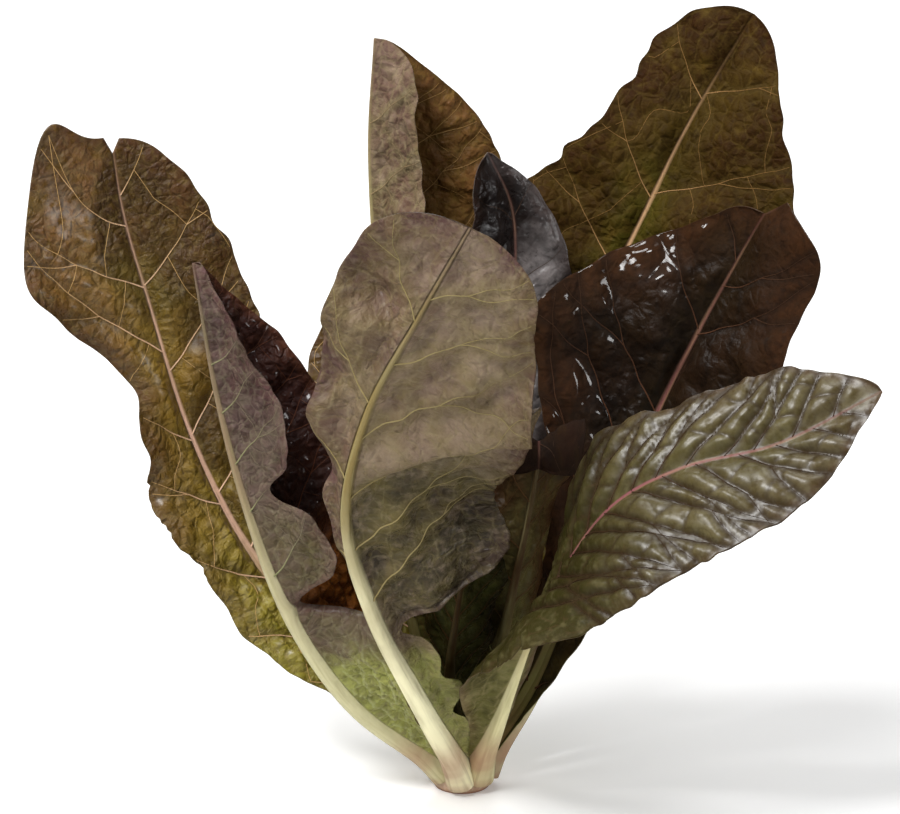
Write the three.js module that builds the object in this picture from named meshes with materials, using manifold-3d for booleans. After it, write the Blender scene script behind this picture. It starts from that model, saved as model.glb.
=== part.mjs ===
// Red romaine lettuce head, standing on its trimmed butt.
// Millimetres, +Z up. The origin is the centre of the cut face under the stem.
// The head is seen from the front along +Y, with +X to the right.
import * as THREE from 'three';
import { mergeVertices } from 'three/addons/utils/BufferGeometryUtils.js';
import Module from 'manifold-3d';

const wasm = await Module();
wasm.setup();

// Driving dimensions of the stem: a short cone that every leaf grows from.
const BUTT_RADIUS = 11.5;
const STEM_HEIGHT = 42;
const STEM_SIDES = 24;
const JOINT_GAP = 0.3; // clearance between a leaf's foot and the stem

// Driving dimensions that all leaves share.
const BLADE_THICKNESS = 0.8;
const RIB_TIP_HALF_WIDTH = 0.6;
const RIB_TIP_DEPTH = 0.3;
const RIB_TAPER = 1.35; // how fast the rib thins towards the tip
const TIP_BLUNTNESS = 6; // power of the rounded tip outline
const ROLL_POWER = 1.5; // how much of the roll sits near the margin
const ROW_CROWDING = 1.5; // rows of points crowd towards the tip

// Mesh resolution of a leaf.
const ROWS = 26;
const RIB_COLUMNS = 1;
const BLADE_COLUMNS = 4;
const STEPS_PER_COLUMN = 5;

// Each leaf is described from its foot to its tip.
//   rib    points along the midrib
//   face   the way the upper side of the leaf looks, at those points
//   left, right  half-widths at even stations, with the upper side facing you and the tip up
//   lift   degrees that each half rises from the rib towards the upper side, at even stations
//   roll   further degrees of turn from the rib out to the margin, at even stations
//   wave   [height, waves along the leaf, phase] of the ruffled margin on the two halves
//   folds  [half, place along the leaf, slant, spread, height, slide] of single large folds in the margin
//   petiole  [half-width, depth] of the rib at its foot
const LEAVES = {
  // Outer leaf on the left, leaning back, with its upper side to the front.
  leaf_left: {
    rib: [[-8, 4.5, 5], [-44, 15, 40], [-72, 24, 76], [-90, 31, 113], [-103, 36, 157], [-110, 38.5, 183], [-113, 39, 204]],
    face: [[0.6, -0.6, 0.5], [0.6, -0.6, 0.5], [0.5, -0.7, 0.5], [0.45, -0.75, 0.45], [0.4, -0.8, 0.4], [0.4, -0.8, 0.4], [0.4, -0.8, 0.4]],
    left: [5, 9, 16, 20, 21, 24, 18, 16, 36, 53, 44],
    right: [5, 7.5, 13, 19, 24, 28, 31, 35, 38, 38, 32],
    lift: { left: [15, 10, 5, 5, 5, 5, 5], right: [15, 15, 15, 15, 15, 15, 10] },
    roll: { left: [0, 0, -10, -15, -15, -10, 0], right: [0, 0, 0, 10, 10, 5, 0] },
    wave: { left: [2, 5, 0.1], right: [2, 4, 0.6] },
    folds: [['left', 0.955, 0, 0.045, 0, 25], ['right', 0.955, 0, 0.06, 0, 7]],
    petiole: [4.6, 4.6],
    colour: 0x4a3a1c,
  },
  // Folded leaf on the left front: the rib is outermost and both halves close towards the right.
  leaf_left_folded: {
    rib: [[-8, -5, 6], [-34, -20, 35], [-54, -27, 68], [-67, -28, 104], [-77, -22, 142], [-84, -16, 183]],
    face: [[0.7, 0.5, 0.5], [0.75, 0.2, 0.55], [0.85, -0.1, 0.5], [0.92, -0.35, 0.3], [0.92, -0.35, 0.3], [0.92, -0.35, 0.2]],
    left: [4.5, 8.5, 16, 24, 24, 24, 14, 23, 23, 18, 9],
    right: [5, 9, 18, 30, 36, 37, 37, 38, 36, 27, 12],
    lift: { left: [15, 30, 55, 70, 75, 75, 70], right: [15, 25, 30, 35, 35, 35, 40] },
    roll: { left: [0, 0, 10, 10, 10, 10, 0], right: [0, 10, 20, 20, 20, 10, 0] },
    wave: { left: [2, 5, 0.3], right: [2, 4, 0.1] },
    folds: [['left', 0.38, 0, 0.06, 6, 0]],
    petiole: [3.8, 4.4],
    colour: 0x4d353a,
  },
  // Front leaf, leaning to the viewer, seen from its pale underside.
  leaf_front: {
    rib: [[-0.5, -9.5, 5], [-14, -33, 43], [-28, -48, 78], [-36, -60, 114], [-29, -70, 151], [-13, -77, 184], [2, -80, 212]],
    face: [[0, 0.9, 0.4], [0, 0.85, 0.5], [0, 0.9, 0.4], [0, 0.95, 0.3], [0.1, 0.95, 0.3], [0.1, 0.95, 0.3], [0.1, 0.95, 0.2]],
    left: [4.4, 9, 14, 11, 27, 44, 51, 57, 58, 50, 66],
    right: [4.4, 8, 7, 6, 5, 5, 11, 20, 28, 33, 29],
    lift: { left: [15, 15, 10, 10, 10, 5, 0], right: [15, 20, 30, 30, 20, 10, 5] },
    roll: { left: [0, 0, 0, 10, 10, 0, 0], right: [0, 10, 20, 30, 20, 10, 0] },
    wave: { left: [2, 4, 0.1], right: [1.5, 4, 0.6] },
    folds: [['left', 0.62, 0.14, 0.06, -7, -4], ['left', 0.48, 0.14, 0.06, 5, 6]],
    petiole: [4.0, 5.2],
    colour: 0x6d6154,
  },
  // Tall back leaf, folded along its rib.
  leaf_back_folded: {
    rib: [[-3, 5, 14], [-9, 18, 46], [-19, 30, 104], [-27, 38, 156], [-30, 43, 203], [-28, 44, 241]],
    face: [[0.3, -0.9, 0.3], [0.5, -0.8, 0.3], [0.7, -0.65, 0.2], [0.8, -0.55, 0.1], [0.8, -0.55, 0.1], [0.8, -0.55, 0.1]],
    left: [5.5, 6, 8, 13, 20, 28, 31, 29, 26, 30, 36],
    right: [5.5, 6, 8, 14, 22, 33, 41, 48, 52, 50, 30],
    lift: { left: [15, 20, 40, 60, 68, 80, 90], right: [15, 20, 30, 35, 40, 40, 40] },
    roll: { left: [0, 0, 10, 10, 10, 10, 0], right: [0, 0, 0, 0, 0, 0, 0] },
    wave: { left: [1.5, 4, 0.3], right: [2, 5, 0.1] },
    folds: [],
    petiole: [4.8, 4],
    colour: 0x54401f,
  },
  // Large back leaf on the right, face on.
  leaf_back_right: {
    rib: [[4, 4, 12], [13, 18, 58], [27, 31, 120], [54, 41, 172], [73, 46.5, 211], [94, 48, 248]],
    face: [[-0.4, -0.8, 0.4], [-0.4, -0.85, 0.35], [-0.35, -0.85, 0.4], [-0.3, -0.85, 0.4], [-0.3, -0.85, 0.4], [-0.3, -0.85, 0.4]],
    left: [5.5, 6, 8, 12, 22, 36, 45, 41, 30, 35, 40],
    right: [5.5, 6, 8, 13, 22, 34, 44, 54, 59, 45, 40],
    lift: { left: [15, 15, 10, 10, 10, 10, 10], right: [15, 15, 10, 10, 10, 10, 10] },
    roll: { left: [0, 0, 0, 10, 10, 0, 0], right: [0, 0, 0, 0, 0, 0, 0] },
    wave: { left: [2, 4, 0.1], right: [2, 5, 0.4] },
    folds: [],
    petiole: [4.8, 4],
    colour: 0x3f3016,
  },
  // Dark leaf on the right, in front of the large back leaf.
  leaf_right_dark: {
    rib: [[9, 0, 5], [24, 2, 34], [41, 4, 79], [61, 6, 123], [75, 6, 153], [87, 3, 178], [95, -2, 195]],
    face: [[-0.8, -0.3, 0.5], [-0.7, -0.5, 0.5], [-0.6, -0.65, 0.45], [-0.5, -0.75, 0.45], [-0.45, -0.75, 0.45], [-0.4, -0.7, 0.6], [-0.4, -0.6, 0.7]],
    left: [4.6, 6.5, 10, 12, 16, 26, 39, 54, 46, 32, 26],
    right: [4.6, 6.5, 11, 18, 26, 35, 42, 47, 49, 46, 58],
    lift: { left: [15, 20, 30, 40, 30, 15, 10], right: [15, 15, 15, 10, 10, 10, 10] },
    roll: { left: [0, 0, 15, 30, 20, 10, 0], right: [0, 0, 0, 0, 0, 0, 0] },
    wave: { left: [2, 4, 0.3], right: [2, 5, 0.1] },
    folds: [['right', 0.95, 0, 0.07, -4, 15]],
    petiole: [4.4, 5],
    colour: 0x24171a,
  },
  // Outer leaf on the right front, arching out with its quilted upper side up.
  leaf_right: {
    rib: [[6.5, -7, 6], [15, -29, 44], [27, -48, 84], [44, -62, 117], [66, -71, 134], [95, -77, 144], [125, -79, 161]],
    face: [[-0.4, 0.8, 0.4], [-0.4, 0.6, 0.6], [-0.5, 0.1, 0.8], [-0.5, -0.4, 0.8], [-0.4, -0.6, 0.7], [-0.3, -0.65, 0.7], [-0.3, -0.65, 0.7]],
    left: [4.8, 7, 12, 17, 20, 22, 28, 24.5, 29, 31, 20],
    right: [4.4, 6.5, 11, 20, 31, 39, 41, 38, 33.5, 23.5, 11],
    lift: { left: [15, 20, 20, 15, 10, 10, 10], right: [15, 10, 0, 0, 5, 5, 5] },
    roll: { left: [0, 0, 10, 0, -20, -20, 0], right: [0, 0, -20, -20, -15, -15, 0] },
    wave: { left: [1.2, 4, 0.2], right: [1.6, 5, 0.1] },
    folds: [],
    petiole: [4.4, 5.2],
    colour: 0x5b5038,
  },
  // Dark inner leaf that stands up behind the front leaf.
  leaf_heart_tall: {
    rib: [[1.5, 1.5, 28], [6, 9, 62], [10, 14, 116], [16, 18, 160], [16, 21, 189], [8, 21, 209]],
    face: [[0.1, -0.9, 0.3], [0.2, -0.9, 0.3], [0.3, -0.9, 0.2], [0.3, -0.9, 0.2], [0.3, -0.9, 0.2], [0.3, -0.9, 0.2]],
    left: [3.5, 4, 6, 9, 13, 16, 18, 20, 23, 27, 32],
    right: [3.5, 4, 6, 9, 13, 16, 19, 21, 20, 16, 8],
    lift: { left: [15, 20, 25, 25, 25, 25, 25], right: [15, 20, 20, 20, 20, 20, 20] },
    roll: { left: [0, 0, 10, 20, 20, 10, 0], right: [0, 0, 0, -20, -30, -20, 0] },
    wave: { left: [1.5, 4, 0.3], right: [1.5, 4, 0.1] },
    folds: [],
    petiole: [3, 3],
    colour: 0x1c1216,
  },
  // Short inner leaf on the right with a rolled rim.
  leaf_heart_right: {
    rib: [[3, -2.5, 20], [12, -10, 52], [18, -14, 84], [22, -15, 110], [24, -14, 126]],
    face: [[-0.2, 0.9, 0.4], [-0.2, 0.9, 0.4], [-0.2, 0.9, 0.3], [-0.2, 0.9, 0.2], [-0.2, 0.9, 0.1]],
    left: [4.5, 5, 7, 10, 13, 15, 16, 17, 19, 23, 38],
    right: [4.5, 5, 7, 10, 13, 15, 16, 17, 19, 23, 38],
    lift: { left: [15, 20, 25, 25, 25, 25, 25], right: [15, 20, 25, 25, 25, 25, 25] },
    roll: { left: [0, 10, 20, 30, 30, 20, 0], right: [0, 10, 20, 30, 30, 20, 0] },
    wave: { left: [1.5, 3, 0.3], right: [1.5, 3, 0.1] },
    folds: [],
    petiole: [3.8, 3.5],
    colour: 0x3a2418,
  },
  // Short inner leaf at the front.
  leaf_heart_front: {
    rib: [[-2, -5, 17], [-4, -21, 48], [-1, -29, 76], [3, -32, 104]],
    face: [[0, 0.9, 0.4], [0.1, 0.9, 0.4], [0.1, 0.9, 0.3], [0.1, 0.9, 0.1]],
    left: [4.5, 5, 7, 10, 13, 15, 17, 18, 18, 16, 13],
    right: [4.5, 5, 6, 8, 10, 12, 13, 14, 14, 13, 11],
    lift: { left: [15, 20, 25, 25, 25, 25, 25], right: [15, 20, 25, 25, 25, 25, 25] },
    roll: { left: [0, 20, 30, 40, 40, 40, 40], right: [0, 20, 30, 40, 40, 40, 40] },
    wave: { left: [1.5, 3, 0.3], right: [1.5, 3, 0.1] },
    folds: [],
    petiole: [3.8, 3.5],
    colour: 0x33301a,
  },
  // Inner leaf on the left, inside the folded one.
  leaf_heart_left: {
    rib: [[-4, -1, 20], [-15, -5, 56], [-23, -5, 98], [-29, -4, 136], [-31, -2, 160]],
    face: [[0.8, 0.2, 0.4], [0.85, 0.2, 0.4], [0.9, 0, 0.3], [0.9, -0.1, 0.2], [0.9, -0.1, 0.2]],
    left: [4, 5, 6, 9, 12, 14, 16, 17, 16, 14, 10],
    right: [4, 5, 6, 9, 12, 14, 15, 15, 14, 12, 8],
    lift: { left: [15, 20, 25, 25, 25, 20, 20], right: [15, 20, 25, 25, 25, 20, 20] },
    roll: { left: [0, 10, 20, 20, 20, 10, 0], right: [0, 10, 20, 20, 20, 10, 0] },
    wave: { left: [1.5, 4, 0.3], right: [1.5, 4, 0.1] },
    folds: [],
    petiole: [3.6, 3.5],
    colour: 0x2a1a18,
  },
  // Outer leaf at the back.
  leaf_back: {
    rib: [[-3, 9, 5], [-11, 30, 42], [-21, 51, 84], [-27, 68, 122], [-28, 77, 152]],
    face: [[0, -0.8, 0.6], [0, -0.8, 0.6], [0, -0.8, 0.6], [0, -0.85, 0.5], [0, -0.85, 0.5]],
    left: [5, 7, 11, 17, 22, 26, 28, 30, 30, 28, 22],
    right: [5, 7, 11, 17, 22, 26, 28, 30, 30, 28, 22],
    lift: { left: [15, 15, 10, 10, 10, 10, 10], right: [15, 15, 10, 10, 10, 10, 10] },
    roll: { left: [0, 0, 0, -10, -10, -10, 0], right: [0, 0, 0, -10, -10, -10, 0] },
    wave: { left: [2, 4, 0.3], right: [2, 4, 0.1] },
    folds: [],
    petiole: [4.4, 4.8],
    colour: 0x4f4426,
  },
  // Outer leaf at the back on the right.
  leaf_back_low: {
    rib: [[5, 8.5, 6], [20, 27, 37], [37, 44, 72], [51, 58, 104], [61, 65, 132]],
    face: [[-0.6, -0.6, 0.5], [-0.6, -0.6, 0.5], [-0.5, -0.65, 0.6], [-0.45, -0.7, 0.55], [-0.4, -0.75, 0.5]],
    left: [5, 7, 11, 16, 21, 24, 26, 27, 27, 25, 20],
    right: [5, 7, 11, 16, 21, 24, 26, 27, 27, 25, 20],
    lift: { left: [15, 15, 10, 10, 10, 10, 10], right: [15, 15, 10, 10, 10, 10, 10] },
    roll: { left: [0, 0, 0, -10, -10, -10, 0], right: [0, 0, 0, -10, -10, -10, 0] },
    wave: { left: [2, 4, 0.3], right: [2, 4, 0.1] },
    folds: [],
    petiole: [4.4, 4.8],
    colour: 0x4f4426,
  },
};

// Interpolates values set at even stations along a leaf, with a smooth curve through them.
function atStation(values, along) {
  const last = values.length - 1;
  const x = Math.min(Math.max(along, 0), 1) * last;
  const i = Math.min(Math.floor(x), last - 1);
  const f = x - i;
  const at = (k) => values[Math.min(Math.max(k, 0), last)];
  const [a, b, c, d] = [at(i - 1), at(i), at(i + 1), at(i + 2)];
  return b + 0.5 * f * (c - a + f * (2 * a - 5 * b + 4 * c - d + f * (3 * (b - c) + d - a)));
}

// A curve through points, or through directions, with the same spacing for both.
function curveThrough(points) {
  return new THREE.CatmullRomCurve3(points.map((p) => new THREE.Vector3(...p)), false, 'catmullrom', 0.5);
}

// The rib's half-width and depth at a place along the leaf.
function ribSize(leaf, along, halfWidth) {
  const taper = (1 - along) ** RIB_TAPER;
  const [footHalfWidth, footDepth] = leaf.petiole;
  return {
    halfWidth: Math.min(RIB_TIP_HALF_WIDTH + (footHalfWidth - RIB_TIP_HALF_WIDTH) * taper, halfWidth * 0.85),
    depth: RIB_TIP_DEPTH + (footDepth - RIB_TIP_DEPTH) * taper,
  };
}

// Distances from the rib's centre at which a half of the leaf has points.
function columnPlaces(rib, halfWidth) {
  const places = [0];
  for (let i = 1; i <= RIB_COLUMNS; i++) places.push((rib.halfWidth * i) / RIB_COLUMNS);
  for (let i = 1; i <= BLADE_COLUMNS; i++) {
    places.push(rib.halfWidth + ((halfWidth - rib.halfWidth) * i) / BLADE_COLUMNS);
  }
  return places;
}

// How far the ruffled margin and its large folds lift a point off the plain surface and slide it along.
function marginShift(leaf, half, along, share) {
  const [height, count, phase] = leaf.wave[half];
  const grown = THREE.MathUtils.smoothstep(along, 0.2, 0.5);
  let lift = height * grown * share ** 2 * Math.sin(2 * Math.PI * (count * along + phase));
  let slide = 0;
  for (const [side, place, slant, spread, foldHeight, foldSlide] of leaf.folds) {
    if (side !== half) continue;
    const strength = share ** 1.5 * Math.exp(-(((along - place - slant * share) / spread) ** 2));
    lift += foldHeight * strength;
    slide += foldSlide * strength;
  }
  return { lift, slide };
}

// Points of one half of one row, from the rib outwards.
function halfRow(leaf, half, along, frame, rib, halfWidth) {
  const side = half === 'right' ? 1 : -1;
  const lift = THREE.MathUtils.degToRad(atStation(leaf.lift[half], along));
  const roll = THREE.MathUtils.degToRad(atStation(leaf.roll[half], along));
  const places = columnPlaces(rib, halfWidth);
  let out = 0;
  let up = 0;
  return places.map((place, column) => {
    const start = column === 0 ? 0 : places[column - 1];
    const step = (place - start) / STEPS_PER_COLUMN;
    let angle = lift;
    for (let i = 0; i < STEPS_PER_COLUMN && column > 0; i++) {
      angle = lift + roll * ((start + step * (i + 0.5)) / halfWidth) ** ROLL_POWER;
      out += step * Math.cos(angle);
      up += step * Math.sin(angle);
    }
    const shift = marginShift(leaf, half, along, place / halfWidth);
    const point = frame.origin.clone();
    point.addScaledVector(frame.across, side * (out - shift.lift * Math.sin(angle)));
    point.addScaledVector(frame.face, up + shift.lift * Math.cos(angle));
    point.addScaledVector(frame.tangent, shift.slide);
    return { point, place, share: place / rib.halfWidth };
  });
}

// A row of points across the leaf, from the left margin to the right one.
function leafRow(leaf, curves, along) {
  const t = curves.rib.getUtoTmapping(along);
  const tangent = curves.rib.getTangent(t);
  const looks = curves.face.getPoint(t);
  const face = looks.addScaledVector(tangent, -looks.dot(tangent)).normalize();
  const frame = { origin: curves.rib.getPoint(t), tangent, face, across: tangent.clone().cross(face) };
  const cap = Math.sqrt(1 - along ** TIP_BLUNTNESS);
  const half = (name) => {
    const halfWidth = atStation(leaf[name], along) * cap;
    const rib = ribSize(leaf, along, halfWidth);
    return halfRow(leaf, name, along, frame, rib, halfWidth).map((p) => ({ ...p, depth: rib.depth }));
  };
  const left = half('left');
  const right = half('right');
  return [...left.slice(1).reverse(), ...right];
}

// The closed solid of one leaf: an upper and a lower skin of the same triangles, joined round the margin.
function leafGeometry(leaf, thicken = 0) {
  const curves = { rib: curveThrough(leaf.rib), face: curveThrough(leaf.face) };
  const rows = [];
  for (let i = 0; i < ROWS; i++) rows.push(leafRow(leaf, curves, 1 - (1 - i / ROWS) ** ROW_CROWDING));
  const columns = rows[0].length;
  const tip = curves.rib.getPoint(1);
  const pointAt = (i, j) => (i < ROWS ? rows[i][j].point : tip);
  const positions = [];
  const push = (p) => positions.push(p.x, p.y, p.z) / 3 - 1;
  const upper = [];
  const lower = [];
  for (let i = 0; i < ROWS; i++) {
    upper.push([]);
    lower.push([]);
    for (let j = 0; j < columns; j++) {
      const along = pointAt(i + 1, j).clone().sub(pointAt(Math.max(i - 1, 0), j));
      const across = pointAt(i, Math.min(j + 1, columns - 1)).clone().sub(pointAt(i, Math.max(j - 1, 0)));
      const normal = across.cross(along).normalize().negate();
      const { point, share, depth } = rows[i][j];
      const ridge = share < 1 ? depth * Math.sqrt(1 - share ** 2) : 0;
      const skin = BLADE_THICKNESS / 2 + thicken;
      upper[i].push(push(point.clone().addScaledVector(normal, -skin)));
      lower[i].push(push(point.clone().addScaledVector(normal, skin + ridge)));
    }
  }
  const tangent = curves.rib.getTangent(1);
  const looks = curves.face.getPoint(1);
  const tipFace = looks.addScaledVector(tangent, -looks.dot(tangent)).normalize();
  const upperTip = push(tip.clone().addScaledVector(tipFace, BLADE_THICKNESS / 2 + thicken));
  const lowerTip = push(tip.clone().addScaledVector(tipFace, -BLADE_THICKNESS / 2 - thicken));

  const index = [];
  const triangle = (a, b, c) => index.push(a, b, c);
  const last = columns - 1;
  for (let i = 0; i + 1 < ROWS; i++) {
    for (let j = 0; j < last; j++) {
      triangle(upper[i][j], upper[i][j + 1], upper[i + 1][j + 1]);
      triangle(upper[i][j], upper[i + 1][j + 1], upper[i + 1][j]);
      triangle(lower[i][j], lower[i + 1][j + 1], lower[i][j + 1]);
      triangle(lower[i][j], lower[i + 1][j], lower[i + 1][j + 1]);
    }
    triangle(upper[i][0], upper[i + 1][0], lower[i + 1][0]);
    triangle(upper[i][0], lower[i + 1][0], lower[i][0]);
    triangle(upper[i][last], lower[i + 1][last], upper[i + 1][last]);
    triangle(upper[i][last], lower[i][last], lower[i + 1][last]);
  }
  const end = ROWS - 1;
  for (let j = 0; j < last; j++) {
    triangle(upper[end][j], upper[end][j + 1], upperTip);
    triangle(lower[end][j], lowerTip, lower[end][j + 1]);
    triangle(upper[0][j], lower[0][j], lower[0][j + 1]);
    triangle(upper[0][j], lower[0][j + 1], upper[0][j + 1]);
  }
  triangle(upper[end][0], upperTip, lowerTip);
  triangle(upper[end][0], lowerTip, lower[end][0]);
  triangle(upper[end][last], lowerTip, upperTip);
  triangle(upper[end][last], lower[end][last], lowerTip);

  const geometry = new THREE.BufferGeometry();
  geometry.setAttribute('position', new THREE.Float32BufferAttribute(positions, 3));
  geometry.setIndex(index);
  return geometry;
}

// The stem: a short cone with a flat cut butt. The profile runs from the axis to the axis.
function stemGeometry(offset = 0) {
  const h = STEM_HEIGHT;
  const r = BUTT_RADIUS;
  const profile = [
    [0, -offset],
    [r - 1 + offset, -offset],
    [r + offset, 0.02 * h],
    [r * 0.97 + offset, 0.22 * h],
    [r * 0.76 + offset, 0.5 * h],
    [r * 0.46 + offset, 0.76 * h],
    [r * 0.18 + offset, 0.94 * h + offset],
    [0, h + offset],
  ];
  return new THREE.LatheGeometry(profile.map(([x, y]) => new THREE.Vector2(x, y)), STEM_SIDES).rotateX(Math.PI / 2);
}

// Turns a closed geometry into a solid that can be cut.
function solidOf(geometry) {
  const bare = geometry.clone();
  bare.deleteAttribute('normal');
  bare.deleteAttribute('uv');
  const merged = mergeVertices(bare);
  return new wasm.Manifold(new wasm.Mesh({
    numProp: 3,
    vertProperties: merged.attributes.position.array,
    triVerts: new Uint32Array(merged.index.array),
  }));
}

// Turns a solid back into a geometry.
function geometryOf(solid) {
  const mesh = solid.getMesh();
  const geometry = new THREE.BufferGeometry();
  geometry.setAttribute('position', new THREE.BufferAttribute(mesh.vertProperties, 3));
  geometry.setIndex(new THREE.BufferAttribute(mesh.triVerts, 1));
  geometry.computeVertexNormals();
  return geometry;
}

// The part of a cut solid that has most of it.
function largestBody(solid) {
  return solid.decompose().reduce((a, b) => (b.volume() > a.volume() ? b : a));
}

function namedMesh(name, geometry, colour, roughness) {
  const material = new THREE.MeshStandardMaterial({ color: colour, roughness, metalness: 0 });
  const mesh = new THREE.Mesh(geometry, material);
  mesh.name = name;
  return mesh;
}

const head = new THREE.Group();
head.add(namedMesh('stem', stemGeometry(), 0xd9d2b0, 0.6));

const stemRoom = solidOf(stemGeometry(JOINT_GAP));
for (const [name, leaf] of Object.entries(LEAVES)) {
  const cut = solidOf(leafGeometry(leaf)).subtract(stemRoom);
  head.add(namedMesh(name, geometryOf(largestBody(cut)), leaf.colour, 0.45));
}

export default head;
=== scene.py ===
import math

import bpy
import numpy as np
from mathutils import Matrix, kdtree


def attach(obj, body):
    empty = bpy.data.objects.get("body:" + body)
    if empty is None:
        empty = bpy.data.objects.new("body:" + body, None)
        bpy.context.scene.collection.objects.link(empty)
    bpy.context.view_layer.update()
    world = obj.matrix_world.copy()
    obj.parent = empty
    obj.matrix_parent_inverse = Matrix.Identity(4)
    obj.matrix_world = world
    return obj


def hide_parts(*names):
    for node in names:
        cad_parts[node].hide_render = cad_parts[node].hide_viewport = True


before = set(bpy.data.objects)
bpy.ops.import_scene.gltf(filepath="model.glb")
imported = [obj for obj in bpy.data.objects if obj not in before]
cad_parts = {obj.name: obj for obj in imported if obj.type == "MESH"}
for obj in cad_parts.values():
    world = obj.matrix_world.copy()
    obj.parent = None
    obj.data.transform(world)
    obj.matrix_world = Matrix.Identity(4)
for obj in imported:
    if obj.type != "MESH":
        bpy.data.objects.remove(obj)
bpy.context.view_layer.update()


# The stem. A short cone of pale, firm tissue that every leaf grows from. A knife has trimmed it flat
# at the butt, where the pith shows in a ring of darker strands and the rim has browned a little.
MM = 0.001
STEM_HEIGHT = 42.0
STEM_PROFILE = [(9.0, 0.0), (9.6, 0.9), (9.4, 9.2), (7.6, 21.0), (5.0, 31.9), (2.1, 39.5), (0.0, 42.0)]


def smoothstep(low, high, x):
    """0 below low, 1 above high, with a soft change between them."""
    t = np.clip((np.asarray(x, float) - low) / (high - low), 0.0, 1.0)
    return t * t * (3.0 - 2.0 * t)


def colour(red, green, blue):
    """A colour as it looks on a screen, 0 to 255, made linear for a shader."""
    def linear(value):
        value /= 255.0
        return value / 12.92 if value <= 0.04045 else ((value + 0.055) / 1.055) ** 2.4
    return (linear(red), linear(green), linear(blue), 1.0)


class Shade:
    """A socket in a material's node tree. Sums on it add Math nodes, and make() adds any other node."""

    def __init__(self, tree, socket=None):
        self.tree = tree
        self.socket = socket

    def make(self, kind, settings=None, sockets=None, out=0):
        node = self.tree.nodes.new(kind)
        for key, value in (settings or {}).items():
            if key == "stops":
                ramp = node.color_ramp.elements
                while len(ramp) < len(value):
                    ramp.new(0.5)
                for element, (place, tint) in zip(ramp, value):
                    element.position = place
                    element.color = tint
            else:
                setattr(node, key, value)
        for key, value in (sockets or {}).items():
            self.feed(self.find(node.inputs, key), value)
        return Shade(self.tree, self.find(node.outputs, out))

    @staticmethod
    def find(sockets, key):
        if isinstance(key, int):
            return sockets[key]
        return next(s for s in sockets if s.identifier == key or (s.name == key and s.enabled))

    def feed(self, socket, value):
        if isinstance(value, Shade):
            self.tree.links.new(value.socket, socket)
        else:
            socket.default_value = value

    def sum(self, operation, first, second):
        return self.make("ShaderNodeMath", {"operation": operation}, {0: first, 1: second})

    def __add__(self, other):
        return self.sum("ADD", self, other)

    def __radd__(self, other):
        return self.sum("ADD", other, self)

    def __sub__(self, other):
        return self.sum("SUBTRACT", self, other)

    def __rsub__(self, other):
        return self.sum("SUBTRACT", other, self)

    def __mul__(self, other):
        return self.sum("MULTIPLY", self, other)

    def __rmul__(self, other):
        return self.sum("MULTIPLY", other, self)

    def ease(self, low, high):
        """0 where this is below low and 1 above high; low may be the larger one."""
        limits = {"Value": self, "From Min": low, "From Max": high}
        return self.make("ShaderNodeMapRange", {"interpolation_type": "SMOOTHSTEP"}, limits)

    def blend(self, below, above):
        """The first colour where this is 0 and the second where it is 1."""
        tints = {"Factor_Float": self, "A_Color": below, "B_Color": above}
        return self.make("ShaderNodeMix", {"data_type": "RGBA"}, tints, "Result_Color")

    def attribute(self, name):
        return self.make("ShaderNodeAttribute", {"attribute_name": name}, out="Fac")

    def noise(self, where, scale, detail=3.0, distortion=0.0):
        values = {"Vector": where, "Scale": scale, "Detail": detail, "Distortion": distortion}
        return self.make("ShaderNodeTexNoise", None, values)


def new_finish(name):
    """An empty material with its tree as a Shade and its surface shader."""
    material = bpy.data.materials.new(name)
    material.use_nodes = True
    return material, Shade(material.node_tree), material.node_tree.nodes["Principled BSDF"]


def mesh_piece(name, points, faces, finish, smooth=True):
    """A mesh object at the origin, from points in metres."""
    mesh = bpy.data.meshes.new(name)
    mesh.from_pydata(points, [], faces)
    mesh.polygons.foreach_set("use_smooth", [smooth] * len(mesh.polygons))
    mesh.materials.append(finish)
    piece = bpy.data.objects.new(name, mesh)
    bpy.context.scene.collection.objects.link(piece)
    return piece


def stem_finish():
    material, shade, surface = new_finish("stem_flesh")
    where = shade.make("ShaderNodeTexCoord", out="Object")
    level = where.make("ShaderNodeSeparateXYZ", None, {0: where}, "Z")
    flat = where.make("ShaderNodeVectorMath", {"operation": "MULTIPLY"}, {0: where, 1: (1.0, 1.0, 0.0)})
    out = flat.make("ShaderNodeVectorMath", {"operation": "LENGTH"}, {0: flat}, "Value")
    strands = shade.noise(where, 420.0, 3.0)
    clouds = shade.noise(where, 90.0, 4.0, 0.6)
    height = level.ease(0.004, 0.03)
    flesh = height.blend(colour(206, 178, 148), colour(160, 166, 112))
    flush = (clouds + level.ease(0.02, 0.002) * 0.2).ease(0.55, 0.8) * 0.6
    flesh = flush.blend(flesh, colour(176, 132, 106))
    flesh = (strands.ease(0.5, 0.72) * 0.35).blend(flesh, colour(240, 232, 206))
    ring = shade.make("ShaderNodeMath", {"operation": "ABSOLUTE"}, {0: out - 0.0058}).ease(0.0016, 0.0)
    ring = ring * strands.ease(0.4, 0.65)
    cut = ring.blend(colour(226, 216, 184), colour(176, 146, 108))
    cut = (out + clouds * 0.003).ease(0.0092, 0.0108).blend(cut, colour(158, 112, 82))
    shade.feed(surface.inputs["Base Color"], level.ease(0.0012, 0.0004).blend(flesh, cut))
    shade.feed(surface.inputs["Roughness"], 0.38 + clouds * 0.25)
    bump = {"Strength": 0.35, "Distance": 0.0004, "Height": strands}
    shade.feed(surface.inputs["Normal"], shade.make("ShaderNodeBump", None, bump))
    surface.inputs["Coat Weight"].default_value = 0.15
    return material


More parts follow.
